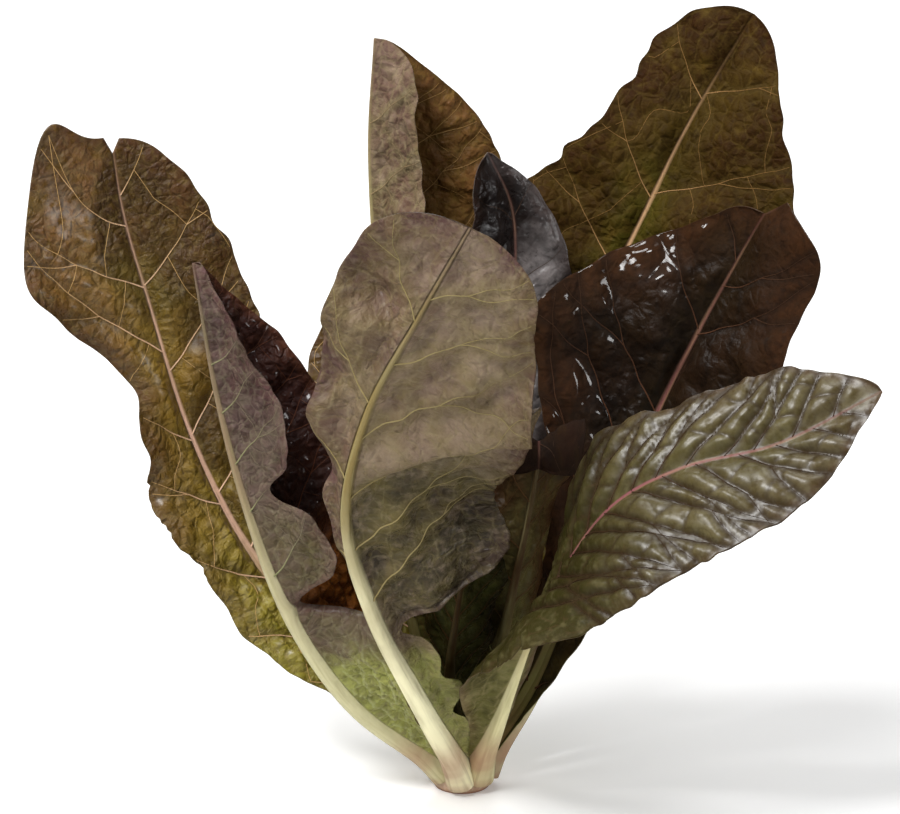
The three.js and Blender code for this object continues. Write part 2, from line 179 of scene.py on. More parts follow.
def stem_piece():
    around = 144
    radius, height = np.array(STEM_PROFILE).T
    run = np.concatenate([[0.0], np.cumsum(np.hypot(np.diff(radius), np.diff(height)))])
    steps = np.linspace(0.0, run[-1], 64)[:-1]
    radius, height = np.interp(steps, run, radius), np.interp(steps, run, height)
    angle = np.linspace(0.0, 2.0 * math.pi, around, endpoint=False)
    fibres = 0.16 * np.sin(23 * angle + 1.0) + 0.12 * np.sin(41 * angle) + 0.3 * np.sin(5 * angle + 0.6)
    scars = 0.28 * np.sin(height[:, None] * 1.3 + 1.4 * np.sin(3 * angle + 0.4))
    grown = smoothstep(0.6, 6.0, height)[:, None] * smoothstep(0.0, 4.0, radius)[:, None]
    wide = radius[:, None] + grown * (fibres + scars)
    rings = []
    for r in np.linspace(0.9, 8.5, 9):
        rings.append((r, 0.35 * math.cos(r * 0.9) ** 2 * float(smoothstep(8.0, 5.6, r))))
    points = [(0.0, 0.0, 0.3)]
    for r, rise in rings:
        points += [(r * math.cos(a), r * math.sin(a), rise) for a in angle]
    for row, z in zip(wide, height):
        points += [(r * math.cos(a), r * math.sin(a), z) for r, a in zip(row, angle)]
    points.append((0.0, 0.0, STEM_HEIGHT))
    bands = len(rings) + len(height)
    faces = []
    for j in range(around):
        k = (j + 1) % around
        faces.append((0, 1 + k, 1 + j))
        for i in range(bands - 1):
            low, high = 1 + i * around, 1 + (i + 1) * around
            faces.append((low + j, low + k, high + k, high + j))
        top = 1 + (bands - 1) * around
        faces.append((top + j, top + k, len(points) - 1))
    return mesh_piece("stem_butt", np.array(points) * MM, faces, stem_finish())


stem = stem_piece()
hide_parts("stem")
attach(stem, "root")


# The outer leaf on the left. A thin blade on a thick, pale pink rib that is one with it, grown out of
# the stem's side; it leans back and shows its olive-brown upper side, yellow-green towards the foot.
RIB_TIP_HALF_WIDTH = 0.35
RIB_TIP_DEPTH = 0.3
RIB_COLUMNS = 6
BLADE_HALF_THICKNESS = 0.24
FOOT_GATHER = 0.3
FOOT_GATHER_HEIGHT = 20.0
FOOT_FLARE_REACH = 9.0
SIDE_SIGN = {"left": -1.0, "right": 1.0}
# Wave lengths and heights, in mm.
BLADE_SWELLS = [(46.0, 0.8), (38.0, 0.7), (29.0, 0.5), (24.0, 0.45), (18.0, 0.3), (15.0, 0.25),
                (11.0, 0.16), (7.5, 0.1)]
MARGIN_CRIMPS = [(31.0, 0.7), (17.0, 0.5), (10.5, 0.35), (6.3, 0.22)]
TEAR_JAGS = [(5.1, 0.5), (8.3, 0.5), (3.2, 0.35)]


def along_stations(values, along):
    """A smooth curve through values that are set at even stations along a leaf."""
    values = np.asarray(values, float)
    last = len(values) - 1
    x = np.clip(along, 0.0, 1.0) * last
    i = np.minimum(x.astype(int), last - 1)
    f = x - i
    a, b, c, d = (values[np.clip(i + k, 0, last)] for k in (-1, 0, 1, 2))
    return b + 0.5 * f * (c - a + f * (2 * a - 5 * b + 4 * c - d + f * (3 * (b - c) + d - a)))


def through_points(points, t):
    """A smooth space curve through points, at places t from 0 to 1."""
    p = np.asarray(points, float)
    p = np.vstack([2 * p[0] - p[1], p, 2 * p[-1] - p[-2]])
    spans = len(points) - 1
    x = np.clip(t, 0.0, 1.0) * spans
    i = np.minimum(x.astype(int), spans - 1)
    f = (x - i)[:, None]
    a, b, c, d = p[i], p[i + 1], p[i + 2], p[i + 3]
    return b + 0.5 * f * (c - a + f * (2 * a - 5 * b + 4 * c - d + f * (3 * (b - c) + d - a)))


def unit(vectors):
    return vectors / np.maximum(np.linalg.norm(vectors, axis=-1, keepdims=True), 1e-9)


def rib_frames(leaf, along):
    """Where the rib is at each place along it, its direction, the upper side's, and the leaf's length."""
    fine = np.linspace(0.0, 1.0, 1201)
    path = through_points(leaf["rib"], fine)
    path[:, :2] *= 1.0 - FOOT_GATHER * np.exp(-(path[:, 2:] / FOOT_GATHER_HEIGHT) ** 2)
    run = np.concatenate([[0.0], np.cumsum(np.linalg.norm(np.diff(path, axis=0), axis=1))])
    at = along * run[-1]
    origin = np.stack([np.interp(at, run, path[:, k]) for k in range(3)], -1)
    slope = np.gradient(path, run, axis=0)
    tangent = unit(np.stack([np.interp(at, run, slope[:, k]) for k in range(3)], -1))
    face = through_points(leaf["face"], np.interp(at, run, fine))
    face = unit(face - np.sum(face * tangent, axis=1, keepdims=True) * tangent)
    return origin, tangent, face, run[-1]


def ripple(across, along, waves, rng):
    """Soft irregular waves over a flat sheet, in millimetres, made of a few crossing ones."""
    total = np.zeros_like(across)
    for wave_length, height in waves:
        heading, phase = rng.uniform(0.0, math.pi), rng.uniform(0.0, 2.0 * math.pi)
        run = across * math.cos(heading) + along * math.sin(heading)
        total += height * np.sin(2.0 * math.pi * run / wave_length + phase)
    return total


def half_outline(leaf, half, along, length, rng):
    """Half-width of the blade and of its rib at each row, with the fine unevenness of the margin."""
    cap = np.sqrt(1.0 - along ** 6)
    width = along_stations(leaf[half], along)
    run = along * length
    crimp = ripple(np.zeros_like(run), run, MARGIN_CRIMPS, rng)
    width = width + leaf.get("crimp", 1.0) * crimp * smoothstep(0.18, 0.4, along)
    for side, place, spread, depth in leaf.get("nicks", []):
        if side == half:
            width = width - depth * np.exp(-((along - place) / spread) ** 2)
    for side, start, end, depth in leaf.get("torn", []):
        if side == half:
            jag = np.abs(ripple(np.zeros_like(run), run, TEAR_JAGS, rng))
            begun = smoothstep(start, start + 0.02, along)
            width = width - depth * jag * begun * smoothstep(end, end - 0.02, along)
    width = np.maximum(width, 1.0) * cap
    foot_half_width, foot_depth = leaf["petiole"]
    taper = (1.0 - along) ** leaf.get("slimming", 2.0)
    flare = np.exp(-(run / FOOT_FLARE_REACH) ** 2)
    rib = (RIB_TIP_HALF_WIDTH + (foot_half_width - RIB_TIP_HALF_WIDTH) * taper) * (1.0 + 0.35 * flare)
    depth = (RIB_TIP_DEPTH + (foot_depth - RIB_TIP_DEPTH) * taper) * (1.0 + 0.2 * flare)
    width = np.where(along < 0.3, np.maximum(width, rib * 1.08), width)
    return width, np.minimum(rib, 0.85 * width), depth


def half_sheet(leaf, half, along, frames, place, width):
    """Rows of points from the rib outwards on half of the middle surface, and their slide along the rib."""
    origin, tangent, face, _ = frames
    across = np.cross(tangent, face) * SIDE_SIGN[half]
    lift = np.radians(along_stations(leaf["lift"][half], along))[:, None]
    roll = np.radians(along_stations(leaf["roll"][half], along))[:, None]
    middle = 0.5 * (place[:, 1:] + place[:, :-1])
    angle = lift + roll * (middle / width[:, None]) ** 1.5
    steps = np.diff(place, axis=1)
    origin_column = np.zeros((len(along), 1))
    out = np.hstack([origin_column, np.cumsum(steps * np.cos(angle), axis=1)])
    up = np.hstack([origin_column, np.cumsum(steps * np.sin(angle), axis=1)])
    angle = np.hstack([lift, angle])
    share = place / width[:, None]
    height, count, phase = leaf["wave"][half]
    raised = height * smoothstep(0.2, 0.5, along)[:, None] * share ** 2
    raised = raised * np.sin(2.0 * math.pi * (count * along + phase))[:, None]
    slide = np.zeros_like(raised)
    for fold_half, fold_place, slant, spread, fold_height, fold_slide in leaf.get("folds", []):
        if fold_half == half:
            near = np.exp(-((along[:, None] - fold_place - slant * share) / spread) ** 2)
            near = near * share ** leaf.get("fold_growth", 1.5)
            raised = raised + fold_height * near
            slide = slide + fold_slide * near
    points = origin[:, None] + across[:, None] * (out - raised * np.sin(angle))[..., None]
    points = points + face[:, None] * (up + raised * np.cos(angle))[..., None]
    return points + tangent[:, None] * slide[..., None], slide


def resampled(line, step):
    """Points at even steps along the smooth curve through a line's nodes, on the flat sheet."""
    fine = through_points(line, np.linspace(0.0, 1.0, 8 * len(line)))
    run = np.concatenate([[0.0], np.cumsum(np.linalg.norm(np.diff(fine, axis=0), axis=1))])
    at = np.linspace(0.0, run[-1], max(3, int(run[-1] / step) + 1))
    return np.stack([np.interp(at, run, fine[:, 0]), np.interp(at, run, fine[:, 1])], -1)


VEIN_STEP = (5.0, 8.0)
STEEPEST_VEIN = 16.0
TIE_REACH = (3.0, 48.0)


def vein_lines(leaf, width_at, rib_at, length, rng):
    """Side veins of half a leaf on the flat sheet: main ones that arch out to the margin, forks and ties."""
    spacing, lean, wander, bend, tie_gap = leaf["veins"]
    mains, forks, ties = [], [], []

    def walk(across, run, heading, reach):
        line, swing = [(across, run)], rng.choice((-1.0, 1.0))
        while across < width_at(run) * reach and run < length * 0.985 and len(line) < 60:
            kink = math.radians(wander) * swing * rng.uniform(0.2, 1.0)
            swing, step = -swing, rng.uniform(*VEIN_STEP)
            across += step * math.sin(heading + kink)
            run += step * math.cos(heading + kink)
            heading = max(heading - math.radians(bend) * step, math.radians(STEEPEST_VEIN))
            line.append((across, run))
        return line

    run = leaf.get("first_vein", 0.16) * length
    while run < length * 0.95:
        heading = math.radians(lean * rng.uniform(0.88, 1.12))
        mains.append(walk(rib_at(run) * 0.9, run, heading, 0.96))
        run += spacing * rng.uniform(0.75, 1.3)
    mains = [line for line in mains if len(line) > 1]
    for line in mains:
        if len(line) > 5:
            k = int(len(line) * rng.uniform(0.35, 0.6))
            fork = walk(*line[k], math.radians(lean + rng.uniform(10.0, 26.0)), 0.94)
            forks += [fork] if len(fork) > 1 else []
    for low, high in zip(mains, mains[1:]):
        gone = 0.0
        for before, here in zip(low, low[1:]):
            gone += math.dist(before, here)
            if gone < tie_gap * rng.uniform(0.75, 1.3):
                continue
            gone = 0.0
            there = min(high, key=lambda p: math.hypot(p[0] - here[0] - 0.3 * tie_gap, p[1] - here[1]))
            reach = math.dist(here, there)
            if TIE_REACH[0] < reach < TIE_REACH[1]:
                count = max(2, int(reach / 6.0))
                shift = rng.normal(0.0, 0.08 * reach, (count + 1, 2))
                shift[[0, -1]] = 0.0
                steps = np.linspace(0.0, 1.0, count + 1)[:, None]
                tie = np.array(here) * (1 - steps) + np.array(there) * steps + shift
                ties.append([tuple(p) for p in tie])
    return mains, forks, ties


def flat_tree(spots):
    """A search tree of points on the flat sheet."""
    tree = kdtree.KDTree(len(spots))
    for n, (d, y) in enumerate(spots.tolist()):
        tree.insert((d, y, 0.0), n)
    tree.balance()
    return tree


def distance_to(lines, across, run):
    """Distance on the flat sheet from each point to the nearest of the lines."""
    if not lines:
        return np.full(across.shape, 1e3)
    tree = flat_tree(np.vstack([resampled(line, 0.5) for line in lines]))
    found = [tree.find((d, y, 0.0))[2] for d, y in zip(across.ravel().tolist(), run.ravel().tolist())]
    return np.array(found).reshape(across.shape)


def dome(distance, reach):
    """Rises from 0 to 1 over a distance, round at the top and creased at the foot."""
    return np.sin(0.5 * math.pi * np.clip(distance / reach, 0.0, 1.0))


def blister_border(spacing, across, run, rng):
    """Distance on the flat sheet from each point to the border of the blister that it is on."""
    size = (int(across.max() / spacing) + 3, int(run.max() / spacing) + 3)
    seeds = np.mgrid[0:size[0], 0:size[1]].reshape(2, -1).T * spacing
    seeds = seeds + rng.uniform(-0.45, 0.45, seeds.shape) * spacing
    tree = flat_tree(seeds)
    border = []
    for d, y in zip(across.ravel().tolist(), run.ravel().tolist()):
        near, far = tree.find_n((d, y, 0.0), 2)
        border.append((far[2] ** 2 - near[2] ** 2) / (2.0 * (far[0] - near[0]).length))
    return np.array(border).reshape(across.shape)


def sweep_tree():
    """Geometry nodes that sweep a round section along lines, as thick as their own thickness says."""
    tree = bpy.data.node_groups.new("swept_veins", "GeometryNodeTree")
    tree.interface.new_socket("Geometry", in_out="INPUT", socket_type="NodeSocketGeometry")
    tree.interface.new_socket("Sides", in_out="INPUT", socket_type="NodeSocketInt")
    tree.interface.new_socket("Finish", in_out="INPUT", socket_type="NodeSocketMaterial")
    tree.interface.new_socket("Geometry", in_out="OUTPUT", socket_type="NodeSocketGeometry")
    given, made = tree.nodes.new("NodeGroupInput"), tree.nodes.new("NodeGroupOutput")
    thick = tree.nodes.new("GeometryNodeInputNamedAttribute")
    thick.data_type = "FLOAT"
    thick.inputs["Name"].default_value = "thickness"
    lines = tree.nodes.new("GeometryNodeMeshToCurve")
    ring = tree.nodes.new("GeometryNodeCurvePrimitiveCircle")
    swept = tree.nodes.new("GeometryNodeCurveToMesh")
    swept.inputs["Fill Caps"].default_value = True
    smooth = tree.nodes.new("GeometryNodeSetShadeSmooth")
    real = tree.nodes.new("GeometryNodeRealizeInstances")
    finish = tree.nodes.new("GeometryNodeSetMaterial")
    ring.inputs["Radius"].default_value = 1.0
    link = tree.links.new
    link(given.outputs["Geometry"], lines.inputs["Mesh"])
    link(given.outputs["Sides"], ring.inputs["Resolution"])
    link(lines.outputs["Curve"], swept.inputs["Curve"])
    link(ring.outputs["Curve"], swept.inputs["Profile Curve"])
    link(thick.outputs["Attribute"], swept.inputs["Scale"])
    link(swept.outputs["Mesh"], smooth.inputs["Geometry"])
    link(smooth.outputs["Geometry"], real.inputs["Geometry"])
    link(real.outputs["Geometry"], finish.inputs["Geometry"])
    link(given.outputs["Finish"], finish.inputs["Material"])
    link(finish.outputs["Geometry"], made.inputs["Geometry"])
    return tree


SWEEP = sweep_tree()


def node_made(name, mesh, tree, inputs):
    """The plain mesh that a geometry node tree makes of a mesh, as a piece at the origin."""
    holder = bpy.data.objects.new(name + "_lines", mesh)
    bpy.context.scene.collection.objects.link(holder)
    modifier = holder.modifiers.new("nodes", "NODES")
    modifier.node_group = tree
    for item in tree.interface.items_tree:
        if item.in_out == "INPUT" and item.name in inputs:
            modifier[item.identifier] = inputs[item.name]
    ready = holder.evaluated_get(bpy.context.evaluated_depsgraph_get())
    plain = bpy.data.meshes.new_from_object(ready)
    bpy.data.objects.remove(holder)
    piece = bpy.data.objects.new(name, plain)
    plain.name = name
    bpy.context.scene.collection.objects.link(piece)
    return piece


LEAF_PLACES = ("along", "off_rib", "edge", "vein", "rib", "patch", "net", "half")
BROWNED_FOOT = colour(158, 108, 88)
ALL_ALONG = (-2.0, -1.0)


def leaf_colour(tones, places, noises):
    """The colour of one side of a leaf, from the foot to the tip and from the rib to the margin, with the
    painted shade and painted sheen that some leaves are given.
    """
    along, off_rib, edge, vein, rib, patch, net, half = places
    clouds, blotch, grain, streaks, wrinkles, hue, areoles = noises
    drift = along + (clouds - 0.5) * 0.24
    grown = drift.ease(*tones.get("greening", (0.12, 0.5)))
    tint = grown.blend(tones["foot"], tones["body"])
    tint = drift.ease(*tones.get("tipping", (0.6, 0.98))).blend(tint, tones["tip"])
    tint = (clouds.ease(0.45, 0.7) * grown * 0.5).blend(tint, tones["mottle"])
    near = off_rib.ease(15.0, 0.0) * along.ease(1.0, 0.4) * grown * tones.get("flushed", 0.5)
    tint = near.blend(tint, tones["flush"])
    # One half may take a tone of its own: painted shade on the right half of the outer left leaf, a painted
    # sheen on the right half of the tall inner leaf, and a mauve tone of its own on the front leaf's
    # underside.
    half_tone_and_light = half * grown * clouds.ease(0.32, 0.58) * tones.get("halved", 0.0)
    tint = half_tone_and_light.blend(tint, tones.get("right_half", tones["body"]))
    rim = (edge + (grain - 0.5) * 3.0).ease(tones.get("rim_width", 5.0), 0.2) * tones.get("rimmed", 0.7)
    tint = (rim * (grown * 0.8 + 0.2)).blend(tint, tones["margin"])
    # Painted shade: a darker tone laid over the patches where part of a leaf lies in shade.
    tint = patch.blend(tint, tones.get("patch", tones["body"]))
    tint = (hue.ease(0.48, 0.75) * grown * tones.get("hues", 0.3)).blend(tint, tones["margin"])
    tint = (hue.ease(0.52, 0.25) * grown * tones.get("hues", 0.3)).blend(tint, tones["flush"])
    varied = tones.get("varied", 0.45)
    tint = (blotch.ease(0.52, 0.72) * varied).blend(tint, tuple(0.45 * part for part in tones["body"]))
    tint = (blotch.ease(0.46, 0.26) * varied).blend(tint, tuple(1.35 * part for part in tones["mottle"]))
    tint = ((grain - 0.5).ease(-0.02, 0.22) * 0.45).blend(tint, tones["mottle"])
    tint = ((grain - 0.5).ease(0.0, -0.22) * 0.4).blend(tint, tuple(0.5 * part for part in tones["body"]))
    # The crease tone along the wrinkles and beside the veins is partly painted shade, darker in the hollows
    # on the upper sides, and partly the olive tone the undersides have beside their veins.
    tint = (wrinkles.ease(0.5, 0.0) * tones.get("wrinkled", 0.2)).blend(tint, tones["crease_tone_and_shade"])
    crease_tone_and_shade = vein.ease(tones.get("crease_width", 3.0), 0.2) * tones.get("creased", 0.4)
    tint = crease_tone_and_shade.blend(tint, tones["crease_tone_and_shade"])
    foot_net, tip_net = tones.get("netted", (0.4, 0.16))
    tint = (net.ease(0.55, 0.05) * (grown * (tip_net - foot_net) + foot_net)).blend(tint, tones["net"])
    tint = (areoles.ease(0.08, 0.01) * tones.get("areoled", 0.05)).blend(tint, tones["net"])
    stalk = drift.ease(*tones.get("stalked", (0.1, 0.5))).blend(tones["stalk"], tones["rib"])
    stalk = (streaks.ease(0.42, 0.7) * 0.5).blend(stalk, tones["strand"])
    stalk = (along.ease(0.18, 0.0) * clouds.ease(0.3, 0.6) * 0.85).blend(stalk, BROWNED_FOOT)
    fading = rib * along.ease(tones.get("rib_end", 1.15), 0.62)
    fading = fading * along.ease(*tones.get("rib_start", ALL_ALONG))
    return fading.blend(tint, stalk)


def leaf_finish(name, upper, under):
    """The skin of a blade, with its colours, among them painted shade and a painted sheen, and its shine and
    relief on the upper and the under side.
    """
    material, shade, surface = new_finish(name)
    sheet = shade.make("ShaderNodeUVMap", {"uv_map": "sheet"})
    places = [shade.attribute(key) for key in LEAF_PLACES]
    along, _, edge, _, rib, patch, _, half = places
    side = shade.attribute("side")
    clouds = shade.noise(sheet, 3.4, 4.0, 0.4)
    grain = shade.noise(sheet, 34.0, 4.0)
    drawn = shade.make("ShaderNodeVectorMath", {"operation": "MULTIPLY"}, {0: sheet, 1: (90.0, 4.0, 1.0)})
    streaks = shade.noise(drawn, 1.0, 3.0)
    folds = shade.noise(sheet, 12.0, 5.0, 0.6) - 0.5
    wrinkles = shade.make("ShaderNodeMath", {"operation": "ABSOLUTE"}, {0: folds}).ease(0.0, 0.09)
    wobble = shade.make("ShaderNodeTexNoise", None, {"Vector": sheet, "Scale": 14.0}, "Color")
    shift = {0: wobble, 1: (0.05, 0.05, 0.0), 2: sheet}
    bent = shade.make("ShaderNodeVectorMath", {"operation": "MULTIPLY_ADD"}, shift)
    cells = {"Vector": bent, "Scale": 24.0}
    areoles = shade.make("ShaderNodeTexVoronoi", {"feature": "DISTANCE_TO_EDGE"}, cells, "Distance")
    blotch = shade.noise(sheet, 10.0, 4.0, 0.3)
    hue = shade.noise(sheet, 3.0, 3.0, 0.8)
    noises = (clouds, blotch, grain, streaks, wrinkles, hue, areoles)
    front = leaf_colour(upper, places, noises)
    back = leaf_colour(under, places, noises)
    shade.feed(surface.inputs["Base Color"], side.blend(back, front))
    wetter = along.ease(0.5, 0.3) * under.get("wet_foot", 0.0) + patch * under.get("wet_patch", 0.0)
    rough = side * (upper["rough"] - under["rough"]) + under["rough"] - (1.0 - side) * wetter
    matte = edge.ease(24.0, 8.0) * upper.get("matte_rim", 0.0) * side
    matte = matte + along.ease(0.6, 0.4) * upper.get("dull_foot", 0.0) * side
    shade.feed(surface.inputs["Roughness"], rough + (grain - 0.5) * 0.2 + rib * 0.08 + matte)
    fine = shade.noise(sheet, 150.0, 3.0)
    blisters = shade.noise(sheet, 42.0, 2.0)
    swells = shade.noise(sheet, 17.0, 2.0, 0.4)
    height = fine * 0.4 + swells * upper.get("swell", 0.9) + blisters * upper.get("blister", 0.4)
    height = height + wrinkles * upper.get("wrinkled", 0.35)
    height = (height + areoles.ease(0.0, 0.3) * upper.get("areole", 0.6)) * (1.0 - rib * 0.85)
    bump = {"Strength": upper.get("bump", 0.6), "Distance": upper.get("relief", 0.0009), "Height": height}
    shade.feed(surface.inputs["Normal"], shade.make("ShaderNodeBump", None, bump))
    surface.inputs["Specular IOR Level"].default_value = upper.get("shine", 0.28)
    gloss = along.ease(*upper.get("coated", ALL_ALONG)) * (side * 0.8 + 0.2)
    gloss = gloss * grain.ease(0.3, 0.6) * (1.0 - rib * 0.7)
    gloss = gloss * (1.0 - half * upper.get("dull_half", 0.0))
    gloss = gloss * (1.0 - patch * upper.get("dull_patch", 0.0))
    shade.feed(surface.inputs["Coat Weight"], gloss * upper.get("coat", 0.0))
    surface.inputs["Coat Roughness"].default_value = upper.get("coat_rough", 0.15)
    return material


def vein_finish(name, upper, under):
    """The flesh of a leaf's side veins, paler where they are thick."""
    material, shade, surface = new_finish(name)
    where = shade.make("ShaderNodeTexCoord", out="Object")
    grain = shade.noise(where, 300.0, 3.0)
    strong = shade.attribute("thickness").ease(0.0001, 0.0003)
    front = strong.blend(upper["vein_thin"], upper["vein"])
    back = strong.blend(under["vein_thin"], under["vein"])
    back = shade.attribute("along").ease(0.42, 0.28).blend(back, under["vein_foot"])
    tint = shade.attribute("side").blend(back, front)
    shade.feed(surface.inputs["Base Color"], (grain.ease(0.45, 0.8) * 0.25).blend(tint, upper["mottle"]))
    shade.feed(surface.inputs["Roughness"], 0.42 + grain * 0.2)
    surface.inputs["Specular IOR Level"].default_value = upper.get("shine", 0.28)
    return material


MAP_PER_MM = 0.01
UNDER_MAP_SHIFT = 2.0
VEIN_SHARE = 0.7
VEIN_RISE = 0.15


def half_blade(leaf, half, along, frames, columns, rng):
    """One half of a blade: its middle surface, what each point on it is, its side veins and its widths."""
    length = frames[3]
    run = along * length
    width, rib, depth = half_outline(leaf, half, along, length, rng)
    inner = rib[:, None] * np.linspace(0.0, 1.0, RIB_COLUMNS + 1)
    outer = rib[:, None] + (width - rib)[:, None] * np.linspace(0.0, 1.0, columns + 1)[1:]
    place = np.hstack([inner, outer])
    points, slide = half_sheet(leaf, half, along, frames, place, width)
    runs = np.repeat(run[:, None], place.shape[1], axis=1)

    def width_at(y):
        return np.interp(y, run, width)

    def rib_at(y):
        return np.interp(y, run, rib)

    lines = vein_lines(leaf, width_at, rib_at, length, rng)
    mains, forks, ties = lines
    main_gap = distance_to(mains + forks, place, runs)
    tie_gap = distance_to(ties, place, runs)
    edge = width[:, None] - place
    off = np.maximum(place - rib[:, None], 0.0)

    quilt, puff = leaf["quilt"]
    tied = leaf.get("tied", 0.4)
    pillow = dome(main_gap, 2.2 * puff) * (1.0 - tied * (1.0 - dome(tie_gap, 1.5 * puff)))
    pillow = pillow * smoothstep(0.0, 5.0, off) * (0.35 + 0.65 * smoothstep(0.0, 6.0, edge))
    waves = ripple(place, runs, BLADE_SWELLS, rng)
    raised = quilt * pillow + leaf.get("ripple", 1.0) * waves * smoothstep(0.0, 14.0, off)
    spacing, low_height, high_height = leaf["cells"]
    border = blister_border(spacing, place, runs, rng)
    swell = low_height + (high_height - low_height) * smoothstep(0.3, 0.65, along)[:, None]
    swell = swell * smoothstep(0.0, 4.0, off) * (0.3 + 0.7 * smoothstep(0.0, 5.0, edge))
    raised = raised + swell * dome(border, 0.5 * spacing) * smoothstep(0.3, 2.5, main_gap)
    raised = raised * smoothstep(1.0, 0.93, along)[:, None]
    for fold_half, fold_place, slant, spread, _, _ in leaf.get("folds", []):
        if fold_half == half:
            off_fold = (along[:, None] - fold_place - slant * place / width[:, None]) / (1.5 * spread)
            raised = raised * (1.0 - 0.9 * np.exp(-off_fold ** 2))

    share = place / width[:, None]
    # Patches of painted shade, where part of a leaf lies in shade.
    patch = np.zeros_like(place)
    for patch_half, patch_place, spread, patch_share, share_spread in leaf.get("patches", []):
        if patch_half == half:
            near = ((along[:, None] - patch_place) / spread) ** 2
            near = near + ((share - patch_share) / share_spread) ** 2
            patch = np.maximum(patch, smoothstep(1.5, 0.4, near))
    ridge = np.sqrt(np.maximum(1.0 - (place / rib[:, None]) ** 2, 0.0)) * depth[:, None]
    signed = place * SIDE_SIGN[half]
    values = {
        "along": np.repeat(along[:, None], place.shape[1], axis=1), "off_rib": off, "edge": edge,
        "vein": np.minimum(main_gap, tie_gap + 0.6), "rib": smoothstep(0.5, -0.2, place - rib[:, None]),
        "patch": patch, "net": border, "half": smoothstep(-4.0, 4.0, signed),
        "place": signed, "slid": runs + slide, "ridge": ridge, "raised": raised,
    }
    return points, values, (lines, width, rib)


def two_sides(points, values, face):
    """The upper and the under side of a blade about its middle surface, and the way up at each point."""
    def normals(grid):
        return unit(np.cross(np.gradient(grid, axis=1), np.gradient(grid, axis=0)))

    outward = normals(points)
    outward = outward if np.sum(outward * face[:, None], axis=(1, 2)).sum() > 0 else -outward
    points = points + outward * values["raised"][..., None]
    upward = normals(points)
    upward = upward if np.sum(upward * outward) > 0 else -upward
    thin = BLADE_HALF_THICKNESS * (0.6 + 0.4 * smoothstep(0.0, 3.0, values["edge"]))
    rise = thin + 0.2 * values["ridge"]
    drop = thin + values["ridge"]
    return points + upward * rise[..., None], points - upward * drop[..., None], upward


def blade_faces(rows, count):
    """Faces that close a blade: both sides, the margins, the foot, and a fan to the two points of the tip."""
    last = rows * count
    index = np.arange(last).reshape(rows, count)
    low, high = index[:-1], index[1:]
    quads = np.stack([low[:, :-1], low[:, 1:], high[:, 1:], high[:, :-1]], -1).reshape(-1, 4)
    faces = quads.tolist() + (quads[:, ::-1] + last).tolist()
    for column, turn in ((0, 1), (count - 1, -1)):
        rim = np.stack([low[:, column], high[:, column], high[:, column] + last, low[:, column] + last], -1)
        faces += rim[:, ::turn].tolist()
    foot = np.stack([index[0, 1:], index[0, :-1], index[0, :-1] + last, index[0, 1:] + last], -1)
    faces += foot.tolist()
    crown = index[-1]
    upper_tip, lower_tip = 2 * last, 2 * last + 1
    faces += [(int(a), int(b), upper_tip) for a, b in zip(crown, crown[1:])]
    faces += [(int(b) + last, int(a) + last, lower_tip) for a, b in zip(crown, crown[1:])]
    faces += [(int(crown[0]), upper_tip, lower_tip, int(crown[0]) + last)]
    faces += [(int(crown[-1]), int(crown[-1]) + last, lower_tip, upper_tip)]
    return faces


def mark_points(mesh, name, values):
    """Gives every point of a mesh its own value, for the mesh's material or nodes to read."""
    mesh.attributes.new(name, "FLOAT", "POINT").data.foreach_set("value", values)


def mark_blade(mesh, values, length):
    """Tells a blade's material what each point of it is, and lays its two sides out on a flat map."""
    rows, count = values["place"].shape
    for key in LEAF_PLACES:
        flat = values[key].ravel()
        ends = [float(values[key][-1, count // 2])] * 2
        mark_points(mesh, key, np.concatenate([flat, flat, ends]))
    last = rows * count
    mark_points(mesh, "side", np.concatenate([np.ones(last), np.zeros(last), [1.0, 0.0]]))
    flat = np.stack([values["place"].ravel(), values["slid"].ravel()], -1) * MAP_PER_MM
    tips = [[0.0, length * MAP_PER_MM], [UNDER_MAP_SHIFT, length * MAP_PER_MM]]
    flat = np.vstack([flat, flat + [UNDER_MAP_SHIFT, 0.0], tips])
    corners = np.empty(len(mesh.loops), int)
    mesh.loops.foreach_get("vertex_index", corners)
    mesh.uv_layers.new(name="sheet").data.foreach_set("uv", flat[corners].ravel())


